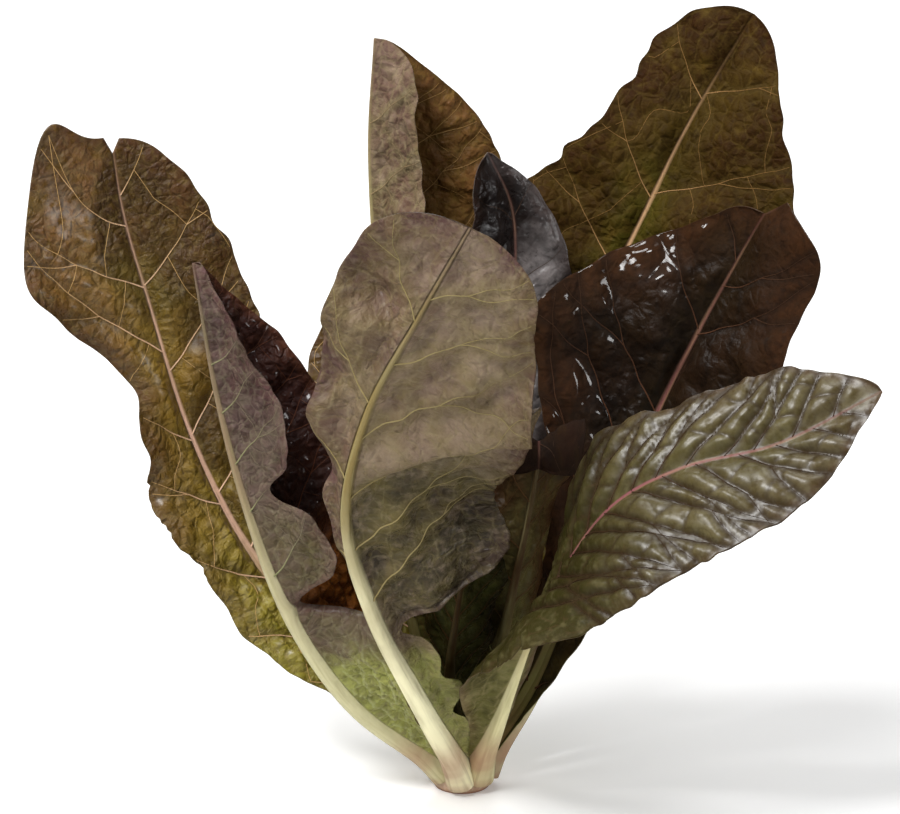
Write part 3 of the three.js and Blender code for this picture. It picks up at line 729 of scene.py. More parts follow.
def vein_mesh(name, leaf, halves, sides, run, length, columns):
    """The lines that the side veins follow on both sides of a blade, with their thickness at each point."""
    top, bottom, upward = sides
    rows, count = top.shape[:2]
    girth = leaf.get("girth", 0.5)
    nodes, links, thickness, skins, shares = [], [], [], [], []

    def lay(line, kind, half, width, rib):
        d, y = line.T
        row = np.interp(y, run, np.arange(rows))
        w, r = np.interp(y, run, width), np.interp(y, run, rib)
        column = np.where(d < r, RIB_COLUMNS * d / r, RIB_COLUMNS + columns * (d - r) / (w - r))
        i, j = np.minimum(row.astype(int), rows - 2), count // 2 + SIDE_SIGN[half] * column
        k = np.clip(np.floor(j).astype(int), 0, count - 2)
        f, g = (row - i)[:, None], (j - k)[:, None]
        slim = np.linspace(0.0, 1.0, len(d))
        fade = 1.0 - 0.4 * y / length
        sizes = {"main": girth * fade * (1.0 - 0.6 * slim), "fork": 0.5 * girth * (1.0 - 0.4 * slim),
                 "tie": 0.32 * girth}
        size = np.broadcast_to(sizes[kind], d.shape)
        for skin, grid, way in ((1.0, top, 1.0), (0.0, bottom, -1.0)):
            if kind == "tie" and skin not in leaf.get("tie_skins", (0.0, 1.0)):
                continue
            spot = (grid[i, k] * (1 - g) + grid[i, k + 1] * g) * (1 - f)
            spot = spot + (grid[i + 1, k] * (1 - g) + grid[i + 1, k + 1] * g) * f
            proud = upward[i, k] * way * (VEIN_RISE * size * VEIN_SHARE)[:, None]
            start = len(nodes)
            nodes.extend((spot + proud).tolist())
            thickness.extend((size * VEIN_SHARE).tolist())
            skins.extend([skin] * len(d))
            shares.extend((y / length).tolist())
            links.extend((start + n, start + n + 1) for n in range(len(d) - 1))

    for half, (lines, width, rib) in halves.items():
        for kind, group in zip(("main", "fork", "tie"), lines):
            for line in group:
                line = resampled(line, 2.2 if kind == "tie" else 1.3)
                line = line[line[:, 0] < np.interp(line[:, 1], run, width) - 0.6]
                if len(line) >= 3:
                    lay(line, kind, half, width, rib)
    mesh = bpy.data.meshes.new(name)
    mesh.from_pydata(np.array(nodes) * MM, links, [])
    mark_points(mesh, "thickness", np.array(thickness) * MM)
    mark_points(mesh, "side", skins)
    mark_points(mesh, "along", shares)
    return mesh


def grow_leaf(name, leaf, upper, under, rows=190, columns=56, seed=1):
    """Makes a leaf and its veins, in place of the plain one of the same name.

    A leaf is given in mm and degrees, with places along it from 0 at the foot to 1 at the tip:
    rib and face, the path of its rib and the way its upper side faces there; left and right, the
    width of each half at even stations; lift and roll, the angle of each half at the rib and what
    its margin adds; wave, the height, count and phase of the margin's waves; folds, each with its
    half, place, slant, spread, height and slide; nicks, with half, place, spread and depth; torn,
    with half, start, end and depth; petiole, half the width and the depth of the rib's foot;
    cells, the spacing of the blisters and their height low and high on the leaf; veins, their
    spacing, lean, wander, bend and the gap between ties; quilt, the height and reach of the pillows
    between them; patches, places of painted shade, each with half, place, spread, share of the width
    and its spread.
    """
    rng = np.random.default_rng(seed)
    along = 1.0 - (1.0 - np.arange(rows) / rows) ** 1.25
    frames = rib_frames(leaf, along)
    _, _, face, length = frames
    left, right = [half_blade(leaf, half, along, frames, columns, rng) for half in ("left", "right")]
    points = np.concatenate([left[0][:, :0:-1], right[0]], axis=1)
    values = {key: np.concatenate([left[1][key][:, :0:-1], right[1][key]], axis=1) for key in right[1]}
    sides = two_sides(points, values, face)
    top, bottom, _ = sides
    tip = through_points(leaf["rib"], np.array([1.0]))[0]
    verts = np.vstack([top.reshape(-1, 3), bottom.reshape(-1, 3), tip, tip - face[-1] * 0.3])
    skin = leaf_finish(name + "_skin", upper, under)
    piece = mesh_piece(name + "_blade", verts * MM, blade_faces(*top.shape[:2]), skin)
    mark_blade(piece.data, values, length)
    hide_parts(name)
    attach(piece, "root")

    halves = {"left": left[2], "right": right[2]}
    mesh = vein_mesh(name + "_lines", leaf, halves, sides, along * length, length, columns)
    pale = vein_finish(name + "_vein_flesh", upper, under)
    veins = node_made(name + "_veins", mesh, SWEEP, {"Sides": 5, "Finish": pale})
    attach(veins, "root")


OLIVE_UPPER = {
    "foot": colour(140, 132, 40), "body": colour(90, 68, 28), "tip": colour(66, 44, 21),
    "mottle": colour(116, 94, 42), "flush": colour(100, 88, 30), "margin": colour(78, 48, 24),
    "crease_tone_and_shade": colour(70, 54, 22), "net": colour(128, 108, 52), "stalk": colour(184, 178, 136),
    "rib": colour(214, 172, 148), "strand": colour(160, 130, 92), "vein": colour(228, 188, 156),
    "vein_thin": colour(182, 146, 92), "rough": 0.42, "greening": (0.2, 0.62), "varied": 0.35,
}
OLIVE_UNDER = {
    "foot": colour(140, 140, 76), "body": colour(112, 94, 70), "tip": colour(98, 74, 62),
    "mottle": colour(120, 110, 74), "flush": colour(122, 120, 70), "margin": colour(92, 62, 54),
    "crease_tone_and_shade": colour(120, 112, 76), "net": colour(146, 134, 96), "stalk": colour(188, 184, 146),
    "rib": colour(160, 144, 102), "strand": colour(148, 140, 98), "vein": colour(164, 150, 104),
    "vein_thin": colour(134, 122, 82), "vein_foot": colour(164, 164, 112), "rough": 0.52,
}
# Painted shade on the upper side: the right half is laid a darker brown, and a dark patch lies beside the rib
# near the tip.
LEFT_UPPER = dict(
    OLIVE_UPPER, body=colour(138, 104, 36), tip=colour(114, 76, 34), margin=colour(72, 40, 16),
    flush=colour(116, 104, 24), patch=colour(62, 40, 18), right_half=colour(56, 35, 13), halved=0.9,
    rib_start=(0.3, 0.44), rim_width=12.0, rimmed=0.8, rough=0.45, shine=0.25, coat=1.0, coat_rough=0.33,
    dull_half=0.8, dull_patch=0.95, bump=0.8, swell=0.7, relief=0.0014,
)
grow_leaf("leaf_left", {
    "rib": [(-8, 4.5, 5), (-44, 15, 40), (-72, 24, 76), (-90, 31, 113), (-103, 36, 157), (-110, 38.5, 183),
            (-113, 39, 204)],
    "face": [(0.6, -0.6, 0.5), (0.6, -0.6, 0.5), (0.5, -0.7, 0.5), (0.45, -0.75, 0.45), (0.4, -0.8, 0.4),
             (0.4, -0.8, 0.4), (0.4, -0.8, 0.4)],
    "left": [5, 9, 16, 20, 21, 24, 18, 17, 38, 54, 31],
    "right": [5, 7.5, 13, 19, 24, 28, 31, 35, 38, 38, 32],
    "lift": {"left": [15, 10, 5, 5, 5, 5, 5], "right": [15, 15, 15, 15, 15, 15, 10]},
    "roll": {"left": [0, 0, -10, -15, -15, -10, 0], "right": [0, 0, 0, 10, 10, 5, 0]},
    "wave": {"left": (2, 5, 0.1), "right": (2, 4, 0.6)},
    "folds": [("left", 0.95, 0, 0.025, 0, 18), ("left", 0.975, 0, 0.033, 0, 10),
              ("right", 0.95, 0, 0.07, 0, 7.5)],
    "fold_growth": 1.3, "crimp": 1.5,
    "petiole": (4.6, 4.6), "slimming": 2.8,
    "cells": (6.5, 1.3, 0.35),
    "veins": (25.0, 54.0, 5.0, 0.35, 17.0), "quilt": (2.8, 5.0), "tied": 0.3, "girth": 0.52,
    # The patch beside the rib near the tip is painted shade.
    "tie_skins": (1.0,), "torn": [("left", 0.4, 0.58, 1.4)], "patches": [("left", 0.9, 0.13, 0.12, 0.22)],
}, LEFT_UPPER, OLIVE_UNDER, seed=11)


# The folded leaf on the left front. Its rib is outermost and both halves close towards the right, so
# the mauve underside of the near half stands before the glossy dark inside of the far half.
# The foot of the upper side is a bright orange-brown: partly the brown the inside of the leaf has, partly
# painted light, so that the inside of the pocket shows lit.
MAUVE_UPPER = dict(
    OLIVE_UPPER, foot=colour(172, 104, 44), body=colour(44, 21, 17), tip=colour(36, 17, 17),
    mottle=colour(62, 32, 20), flush=colour(56, 32, 18), margin=colour(84, 46, 28),
    crease_tone_and_shade=colour(36, 18, 15), net=colour(84, 48, 30), vein=colour(112, 66, 44),
    vein_thin=colour(80, 46, 30), greening=(0.38, 0.56), rough=0.4, shine=0.12, coat=0.35, bump=0.9,
    coat_rough=0.1,
)
MAUVE_UNDER = dict(
    OLIVE_UNDER, foot=colour(150, 152, 82), body=colour(88, 78, 50), tip=colour(64, 46, 43),
    mottle=colour(98, 80, 74), flush=colour(104, 88, 74), margin=colour(92, 62, 60),
    crease_tone_and_shade=colour(92, 78, 66), net=colour(180, 182, 140), stalk=colour(206, 200, 158),
    rib=colour(140, 120, 92), vein=colour(142, 142, 100), vein_thin=colour(112, 100, 82),
    greening=(0.28, 0.42), tipping=(0.54, 0.66), rough=0.5, wet_foot=0.2, netted=(0.32, 0.04), varied=0.5,
    vein_foot=colour(158, 160, 104), rim_width=8.0, stalked=(0.3, 0.7), hues=0.7, areoled=0.06,
)
grow_leaf("leaf_left_folded", {
    "rib": [(-8, -5, 6), (-34, -20, 35), (-54, -27, 68), (-67, -28, 104), (-77, -22, 142), (-84, -16, 183)],
    "face": [(0.7, 0.5, 0.5), (0.75, 0.2, 0.55), (0.85, -0.1, 0.5), (0.92, -0.35, 0.3), (0.92, -0.35, 0.3),
             (0.92, -0.35, 0.2)],
    "left": [4.5, 15, 23, 27, 27, 27, 24, 25, 24, 18, 9],
    "right": [5, 9, 18, 30, 36, 37, 37, 38, 36, 27, 12],
    "lift": {"left": [15, 30, 55, 70, 75, 75, 70], "right": [15, 25, 30, 35, 35, 35, 40]},
    "roll": {"left": [0, 0, 10, 10, 10, 10, 0], "right": [0, 10, 20, 20, 20, 10, 0]},
    "wave": {"left": (2, 5, 0.3), "right": (2, 4, 0.1)},
    "folds": [("left", 0.38, 0, 0.06, 6, 0)],
    "petiole": (3.8, 4.4),
    "nicks": [("left", 0.625, 0.03, 14.0), ("left", 0.43, 0.04, 23.0)],
    "cells": (5.0, 1.9, 0.8),
    "veins": (18.0, 55.0, 9.0, 0.4, 11.0), "quilt": (1.6, 4.0), "slimming": 1.3, "first_vein": 0.42,
}, MAUVE_UPPER, MAUVE_UNDER, seed=12)


# The front leaf. It leans to the viewer and is seen from its dull underside, with a thick raised rib;
# its right half is folded over, so a flap hangs over a wetter lobe, laid darker with painted shade.
TAUPE_UPPER = dict(
    OLIVE_UPPER, body=colour(70, 52, 26), tip=colour(60, 40, 26), rough=0.4, shine=0.22, wrinkled=0.25,
    bump=1.0, swell=1.5, blister=0.6, areole=0.35, relief=0.001, coat=1.0, coat_rough=0.3,
)
TAUPE_UNDER = dict(
    OLIVE_UNDER, foot=colour(150, 152, 82), body=colour(126, 106, 86), tip=colour(124, 105, 88),
    mottle=colour(136, 118, 98), flush=colour(106, 96, 54), margin=colour(84, 54, 52),
    crease_tone_and_shade=colour(112, 100, 52), net=colour(150, 138, 100), stalk=colour(244, 238, 196),
    rib=colour(132, 114, 66), vein=colour(154, 138, 92), vein_thin=colour(136, 122, 80),
    patch=colour(64, 57, 46), greening=(0.26, 0.4), rough=0.55, netted=(0.3, 0.2), rim_width=14.0,
    varied=0.5, hues=0.4, creased=0.35, crease_width=6.0, vein_foot=colour(158, 160, 104), rimmed=0.9,
    stalked=(0.22, 0.62), wet_patch=0.32, right_half=colour(92, 62, 54), halved=0.7, areoled=0.09,
)
grow_leaf("leaf_front", {
    "rib": [(-0.5, -9.5, 5), (-14, -33, 43), (-28, -48, 78), (-36, -60, 114), (-29, -70, 151),
            (-13, -77, 184), (2, -80, 212)],
    "face": [(0, 0.9, 0.4), (0, 0.85, 0.5), (0, 0.9, 0.4), (0, 0.95, 0.3), (0.1, 0.95, 0.3), (0.1, 0.95, 0.3),
             (0.1, 0.95, 0.2)],
    "left": [4.4, 10, 15, 15, 45, 48, 50, 57, 58, 50, 66],
    "right": [4.4, 8, 7, 6, 5, 5, 11, 20, 29, 41, 52],
    "nicks": [("left", 0.335, 0.03, 16.0), ("left", 0.15, 0.02, 5.0), ("left", 0.23, 0.02, 4.0),
              ("left", 0.76, 0.02, 6.0)],
    "lift": {"left": [15, 15, 10, 10, 10, 5, 0], "right": [15, 20, 30, 30, 20, 10, 5]},
    "roll": {"left": [0, 0, 0, 10, 10, 0, 0], "right": [0, 10, 20, 30, 20, 10, 0]},
    "wave": {"left": (2, 4, 0.1), "right": (1.5, 4, 0.6)},
    "folds": [("left", 0.61, 0.19, 0.035, -6, -9), ("left", 0.54, 0.19, 0.035, 6, 9)], "fold_growth": 0.6,
    "petiole": (4, 5.2), "slimming": 1.6,
    "cells": (7.5, 1.0, 0.8),
    "veins": (24.0, 50.0, 12.0, 0.35, 15.0), "quilt": (2.6, 4.5), "tie_skins": (), "ripple": 2.0,
    "first_vein": 0.4,
    # The patch on the lower lobe is painted shade under the flap.
    "patches": [("left", 0.48, 0.15, 0.6, 0.8)],
}, TAUPE_UPPER, TAUPE_UNDER, seed=13)


# The tall leaf at the back, folded along its rib, with the grey-pink underside of its near half in
# front of the brown upper side of the far one.
BACK_FOLDED_UPPER = dict(
    OLIVE_UPPER, body=colour(124, 86, 46), tip=colour(112, 76, 42), vein=colour(190, 154, 104),
    vein_thin=colour(146, 112, 66), shine=0.1, swell=1.5, relief=0.0012,
)
BACK_FOLDED_UNDER = dict(
    OLIVE_UNDER, foot=colour(104, 110, 46), body=colour(94, 72, 58), tip=colour(106, 82, 72),
    mottle=colour(136, 118, 98), greening=(0.45, 0.75), tipping=(0.8, 1.0), vein=colour(150, 130, 96),
    vein_thin=colour(126, 106, 80), hues=0.5, varied=0.65, flush=colour(124, 116, 64),
    margin=colour(108, 82, 68), netted=(0.4, 0.22), areoled=0.12,
)
grow_leaf("leaf_back_folded", {
    "rib": [(-3, 5, 14), (-9, 18, 46), (-19, 30, 104), (-27, 38, 156), (-30, 43, 203), (-28, 44, 241)],
    "face": [(0.3, -0.9, 0.3), (0.5, -0.8, 0.3), (0.7, -0.65, 0.2), (0.8, -0.55, 0.1), (0.8, -0.55, 0.1),
             (0.8, -0.55, 0.1)],
    "left": [5.5, 6, 8, 13, 20, 28, 31, 29, 26, 30, 36],
    "right": [5.5, 6, 8, 14, 22, 33, 41, 48, 52, 50, 30],
    "lift": {"left": [15, 20, 40, 60, 68, 80, 90], "right": [15, 20, 30, 35, 40, 40, 40]},
    "roll": {"left": [0, 0, 10, 10, 10, 10, 0], "right": [0, 0, 0, 0, 0, 0, 0]},
    "wave": {"left": (1.5, 4, 0.3), "right": (2, 5, 0.1)},
    "petiole": (4.8, 4),
    "cells": (6.5, 0.8, 0.8),
    "veins": (20.0, 52.0, 10.0, 0.4, 12.0), "quilt": (1.0, 4.5),
}, BACK_FOLDED_UPPER, BACK_FOLDED_UNDER, seed=14)


# The large back leaf on the right. It stands face on, dark olive-brown with green beside an
# orange-pink rib, and is the tallest of the head.
BACK_RIGHT_UPPER = dict(
    OLIVE_UPPER, foot=colour(92, 86, 24), body=colour(56, 38, 11), tip=colour(50, 31, 10),
    flush=colour(74, 72, 17), rib=colour(210, 166, 126), vein=colour(204, 160, 112),
    vein_thin=colour(128, 96, 54), greening=(0.15, 0.5), flushed=0.8, shine=0.05, rough=0.6,
    mottle=colour(72, 55, 17), rib_end=1.0, wrinkled=0.15, margin=colour(50, 27, 11), rim_width=14.0,
    varied=0.75, netted=(0.3, 0.1), swell=1.4, creased=0.6, relief=0.0014,
)
grow_leaf("leaf_back_right", {
    "rib": [(4, 4, 12), (13, 18, 58), (27, 31, 120), (54, 41, 172), (73, 46.5, 211), (94, 48, 248)],
    "face": [(-0.4, -0.8, 0.4), (-0.4, -0.85, 0.35), (-0.35, -0.85, 0.4), (-0.3, -0.85, 0.4),
             (-0.3, -0.85, 0.4), (-0.3, -0.85, 0.4)],
    "left": [5.5, 6, 8, 12, 22, 36, 45, 41, 30, 35, 40],
    "right": [5.5, 6, 8, 13, 22, 34, 44, 54, 59, 45, 40],
    "lift": {"left": [15, 15, 10, 10, 10, 10, 10], "right": [15, 15, 10, 10, 10, 10, 10]},
    "roll": {"left": [0, 0, 0, 10, 10, 0, 0], "right": [0, 0, 0, 0, 0, 0, 0]},
    "wave": {"left": (2, 4, 0.1), "right": (2, 5, 0.4)},
    "petiole": (4.8, 4), "slimming": 3.2, "crimp": 1.6,
    "cells": (8, 0.8, 0.6),
    "veins": (30.0, 54.0, 5.0, 0.4, 17.0), "quilt": (2.6, 6.5), "tied": 0.3, "girth": 0.42,
    "tie_skins": (1.0,),
}, BACK_RIGHT_UPPER, OLIVE_UNDER, seed=15)


# The dark leaf on the right. Its upper side is near-black maroon, blistered and wet, so it shines in
# points; the rib is purple-pink and the margin a thin red-brown.
MAROON_UPPER = dict(
    OLIVE_UPPER, foot=colour(70, 70, 28), body=colour(25, 17, 12), tip=colour(42, 26, 13),
    mottle=colour(38, 25, 12), flush=colour(30, 27, 11), margin=colour(62, 35, 14),
    crease_tone_and_shade=colour(13, 9, 7), net=colour(54, 36, 22), stalk=colour(150, 146, 86), rib=colour(118, 76, 70),
    vein=colour(92, 60, 42), vein_thin=colour(60, 40, 26), greening=(0.05, 0.4), rim_width=26.0,
    rough=0.4, shine=0.1, coat=0.5, coat_rough=0.08, netted=(0.15, 0.06), blister=0.9, bump=0.5,
    matte_rim=0.45, wrinkled=0.15, areoled=0.03,
)
MAROON_UNDER = dict(
    OLIVE_UNDER, body=colour(86, 66, 56), tip=colour(78, 52, 48), mottle=colour(94, 84, 56),
)
grow_leaf("leaf_right_dark", {
    "rib": [(9, 0, 5), (24, 2, 34), (41, 4, 79), (61, 6, 123), (75, 6, 153), (87, 3, 178), (95, -2, 195)],
    "face": [(-0.8, -0.3, 0.5), (-0.7, -0.5, 0.5), (-0.6, -0.65, 0.45), (-0.5, -0.75, 0.45),
             (-0.45, -0.75, 0.45), (-0.4, -0.7, 0.6), (-0.4, -0.6, 0.7)],
    "left": [4.6, 6.5, 10, 12, 16, 26, 39, 54, 46, 32, 26],
    "right": [4.6, 6.5, 11, 18, 26, 35, 42, 47, 49, 46, 58],
    "lift": {"left": [15, 20, 30, 40, 30, 15, 10], "right": [15, 15, 15, 10, 10, 10, 10]},
    "roll": {"left": [0, 0, 15, 30, 20, 10, 0], "right": [0, 0, 0, 0, 0, 0, 0]},
    "wave": {"left": (2, 4, 0.3), "right": (2, 5, 0.1)},
    "folds": [("right", 0.95, 0, 0.07, -4, 15)],
    "petiole": (4.4, 5),
    "cells": (13, 1.0, 1.0),
    "veins": (24.0, 48.0, 8.0, 0.3, 15.0), "quilt": (2.4, 8.0), "tied": 0.2, "slimming": 2.6, "tie_skins": (),
}, MAROON_UPPER, MAROON_UNDER, seed=16)


# The outer leaf on the right front. It arches out with its upper side up: bronze, tightly quilted
# between close side veins, with a grey sheen on the swellings and dark brown painted shade in the creases.
BRONZE_UPPER = dict(
    OLIVE_UPPER, foot=colour(50, 46, 14), body=colour(88, 78, 46), tip=colour(84, 72, 46),
    mottle=colour(100, 92, 60), flush=colour(72, 70, 28), margin=colour(66, 42, 26),
    crease_tone_and_shade=colour(48, 35, 18), net=colour(76, 58, 36), stalk=colour(190, 186, 130),
    rib=colour(132, 80, 82), vein=colour(72, 50, 36), vein_thin=colour(60, 44, 28), greening=(0.5, 0.7),
    rough=0.5, shine=0.1, coat=1.0, creased=0.85, crease_width=2.2, bump=0.3, wrinkled=0.2, dull_foot=0.1,
    coat_rough=0.36, coated=(0.45, 0.68), areoled=0.02, areole=0.3,
)
BRONZE_UNDER = dict(
    OLIVE_UNDER, foot=colour(92, 90, 40), body=colour(64, 57, 24), tip=colour(84, 70, 48),
    greening=(0.05, 0.25), stalk=colour(214, 208, 160),
)
grow_leaf("leaf_right", {
    "rib": [(6.5, -7, 6), (15, -29, 44), (27, -48, 84), (44, -62, 117), (66, -71, 134), (95, -77, 144),
            (125, -79, 161)],
    "face": [(-0.4, 0.8, 0.4), (-0.4, 0.6, 0.6), (-0.5, 0.1, 0.8), (-0.5, -0.4, 0.8), (-0.4, -0.6, 0.7),
             (-0.3, -0.65, 0.7), (-0.3, -0.65, 0.7)],
    "left": [4.8, 7, 12, 17, 20, 22, 28, 24.5, 29, 31, 20],
    "right": [4.4, 7.5, 17, 27, 35, 40, 41, 38, 33.5, 23.5, 11],
    "lift": {"left": [15, 20, 20, 15, 10, 10, 10], "right": [15, 10, 0, 0, 5, 5, 5]},
    "roll": {"left": [0, 0, 10, 0, -20, -20, 0], "right": [0, 0, -20, -20, -15, -15, 0]},
    "wave": {"left": (1.2, 4, 0.2), "right": (1.6, 5, 0.1)},
    "petiole": (4.4, 5.2), "slimming": 5.0,
    "cells": (6, 0.15, 0.15),
    "veins": (11.0, 42.0, 5.0, 0.3, 10.0), "quilt": (1.9, 1.7), "ripple": 0.8, "girth": 0.4,
    "first_vein": 0.34,
    "tie_skins": (), "torn": [("right", 0.3, 0.44, 5.0)],
}, BRONZE_UPPER, BRONZE_UNDER, seed=17)


# The tall inner leaf, which grows from the stem behind the front one. It is young, near-black purple,
# smooth and wet, with its right margin rolled back; the grey of its far half is a painted sheen.
# The right half of the upper side is laid a light grey, a painted sheen.
HEART_UPPER = dict(
    MAROON_UPPER, body=colour(24, 18, 17), tip=colour(22, 15, 14), mottle=colour(38, 32, 32),
    flush=colour(36, 29, 28), margin=colour(48, 30, 24), rough=0.3, blister=0.5, matte_rim=0.0, shine=0.4,
    coat=0.4, coat_rough=0.25, coated=(-2.0, -1.0), rim_width=6.0, right_half=colour(150, 142, 140),
    halved=1.0, areoled=0.02,
)
grow_leaf("leaf_heart_tall", {
    "rib": [(1.5, 1.5, 28), (6, 9, 62), (10, 14, 116), (16, 18, 160), (16, 21, 189), (8, 21, 209)],
    "face": [(0.1, -0.9, 0.3), (0.2, -0.9, 0.3), (0.3, -0.9, 0.2), (0.3, -0.9, 0.2), (0.3, -0.9, 0.2),
             (0.3, -0.9, 0.2)],
    "left": [3.5, 4, 6, 9, 13, 16, 18, 20, 23, 27, 32],
    "right": [3.5, 4, 6, 9, 13, 16, 19, 21, 20, 16, 8],
    "lift": {"left": [15, 20, 25, 25, 25, 25, 25], "right": [15, 20, 20, 20, 20, 20, 20]},
    "roll": {"left": [0, 0, 10, 20, 20, 10, 0], "right": [0, 0, 0, -20, -30, -20, 0]},
    "wave": {"left": (1.5, 4, 0.3), "right": (1.5, 4, 0.1)},
    "petiole": (3, 3),
    "cells": (12, 0.8, 0.8),
    "veins": (18.0, 48.0, 9.0, 0.35, 12.0), "quilt": (1.4, 5.0), "tie_skins": (), "girth": 0.35,
}, HEART_UPPER, MAROON_UNDER, rows=150, columns=34, seed=18)


# The short leaves of the heart, round the top of the stem: one on the right with a rolled rim, one in
# front and one on the left. They are dark, glossy and still half closed.
BROWN_UPPER = dict(
    MAROON_UPPER, body=colour(44, 28, 14), tip=colour(30, 18, 13), mottle=colour(52, 36, 17), shine=0.12,
    coat=0.0, rough=0.5, margin=colour(40, 23, 14),
)
BROWN_UNDER = dict(
    OLIVE_UNDER, foot=colour(82, 84, 36), body=colour(46, 28, 14), tip=colour(34, 20, 14),
    mottle=colour(60, 40, 20), margin=colour(50, 28, 17), crease_tone_and_shade=colour(56, 36, 20), rough=0.34,
    net=colour(88, 62, 36), stalk=colour(110, 104, 58), rib=colour(70, 50, 28), vein=colour(96, 68, 38),
    vein_thin=colour(80, 54, 30),
)
GREEN_UNDER = dict(
    BROWN_UNDER, body=colour(50, 54, 24), tip=colour(54, 44, 22), mottle=colour(66, 70, 30),
    crease_tone_and_shade=colour(34, 34, 16), creased=0.6, rough=0.28,
)
grow_leaf("leaf_heart_right", {
    "rib": [(3, -2.5, 20), (12, -10, 52), (18, -14, 82), (22, -15, 104), (24, -15.5, 119), (24, -19, 125),
            (24, -23, 122), (24, -22, 117)],
    "face": [(-0.2, 0.9, 0.4), (-0.2, 0.9, 0.4), (-0.2, 0.9, 0.3), (-0.2, 0.9, 0.2), (-0.1, 0.9, 0.3),
             (0, 0.3, 1), (0, -0.9, 0.4), (0, -0.9, -0.6)],
    "left": [4.5, 5, 7, 10, 13, 15, 16, 17, 19, 23, 38],
    "right": [4.5, 5, 7, 10, 13, 15, 16, 17, 19, 23, 38],
    "lift": {"left": [15, 20, 25, 25, 25, 25, 25], "right": [15, 20, 25, 25, 25, 25, 25]},
    "roll": {"left": [0, 10, 20, 30, 30, 20, 0], "right": [0, 10, 20, 30, 30, 20, 0]},
    "wave": {"left": (1.5, 3, 0.3), "right": (1.5, 3, 0.1)},
    "petiole": (3.8, 3.5),
    "cells": (5, 0.6, 0.5),
    "veins": (14.0, 48.0, 9.0, 0.35, 9.0), "quilt": (1.0, 3.5), "girth": 0.4,
}, BROWN_UPPER, BROWN_UNDER, rows=120, columns=32, seed=19)
grow_leaf("leaf_heart_front", {
    "rib": [(-2, -5, 17), (-4, -21, 48), (-1, -29, 76), (3, -32, 104)],
    "face": [(0, 0.9, 0.4), (0.1, 0.9, 0.4), (0.1, 0.9, 0.3), (0.1, 0.9, 0.1)],
    "left": [4.5, 5, 7, 10, 13, 15, 17, 18, 18, 16, 13],
    "right": [4.5, 5, 6, 8, 10, 12, 13, 14, 14, 13, 11],
    "lift": {"left": [15, 20, 25, 25, 25, 25, 25], "right": [15, 20, 25, 25, 25, 25, 25]},
    "roll": {"left": [0, 20, 30, 40, 40, 40, 40], "right": [0, 20, 30, 40, 40, 40, 40]},
    "wave": {"left": (1.5, 3, 0.3), "right": (1.5, 3, 0.1)},
    "petiole": (3.8, 3.5),
    "cells": (5, 0.8, 0.6),
    "veins": (9.0, 42.0, 7.0, 0.3, 8.0), "quilt": (1.5, 2.8), "tie_skins": (), "girth": 0.4,
}, BROWN_UPPER, GREEN_UNDER, rows=120, columns=32, seed=20)
grow_leaf("leaf_heart_left", {
    "rib": [(-4, -1, 20), (-15, -5, 56), (-23, -5, 98), (-29, -4, 136), (-31, -2, 160)],
    "face": [(0.8, 0.2, 0.4), (0.85, 0.2, 0.4), (0.9, 0, 0.3), (0.9, -0.1, 0.2), (0.9, -0.1, 0.2)],
    "left": [4, 5, 6, 9, 12, 14, 16, 17, 16, 14, 10],
    "right": [4, 5, 6, 9, 12, 14, 15, 15, 14, 12, 8],
    "lift": {"left": [15, 20, 25, 25, 25, 20, 20], "right": [15, 20, 25, 25, 25, 20, 20]},
    "roll": {"left": [0, 10, 20, 20, 20, 10, 0], "right": [0, 10, 20, 20, 20, 10, 0]},
    "wave": {"left": (1.5, 4, 0.3), "right": (1.5, 4, 0.1)},
    "petiole": (3.6, 3.5),
    "cells": (5, 0.6, 0.5),
    "veins": (16.0, 48.0, 9.0, 0.35, 10.0), "quilt": (1.0, 4.0), "girth": 0.4,
}, BROWN_UPPER, BROWN_UNDER, rows=120, columns=30, seed=21)


# The outer leaves at the back of the head, one in the middle and a lower one on the right. They lean
# out from the butt as the front ones do, bronze above and duller below.
grow_leaf("leaf_back", {
    "rib": [(-3, 9, 5), (-11, 30, 42), (-21, 51, 84), (-27, 68, 122), (-28, 77, 152)],
    "face": [(0, -0.8, 0.6), (0, -0.8, 0.6), (0, -0.8, 0.6), (0, -0.85, 0.5), (0, -0.85, 0.5)],
    "left": [5, 7, 11, 17, 22, 26, 28, 30, 30, 28, 22],
    "right": [5, 7, 11, 17, 22, 26, 28, 30, 30, 28, 22],
    "lift": {"left": [15, 15, 10, 10, 10, 10, 10], "right": [15, 15, 10, 10, 10, 10, 10]},
    "roll": {"left": [0, 0, 0, -10, -10, -10, 0], "right": [0, 0, 0, -10, -10, -10, 0]},
    "wave": {"left": (2, 4, 0.3), "right": (2, 4, 0.1)},
    "petiole": (4.4, 4.8),
    "cells": (7, 0.8, 0.5),
    "veins": (18.0, 52.0, 9.0, 0.4, 12.0), "quilt": (1.4, 4.5), "slimming": 1.8,
}, OLIVE_UPPER, OLIVE_UNDER, rows=150, columns=40, seed=22)
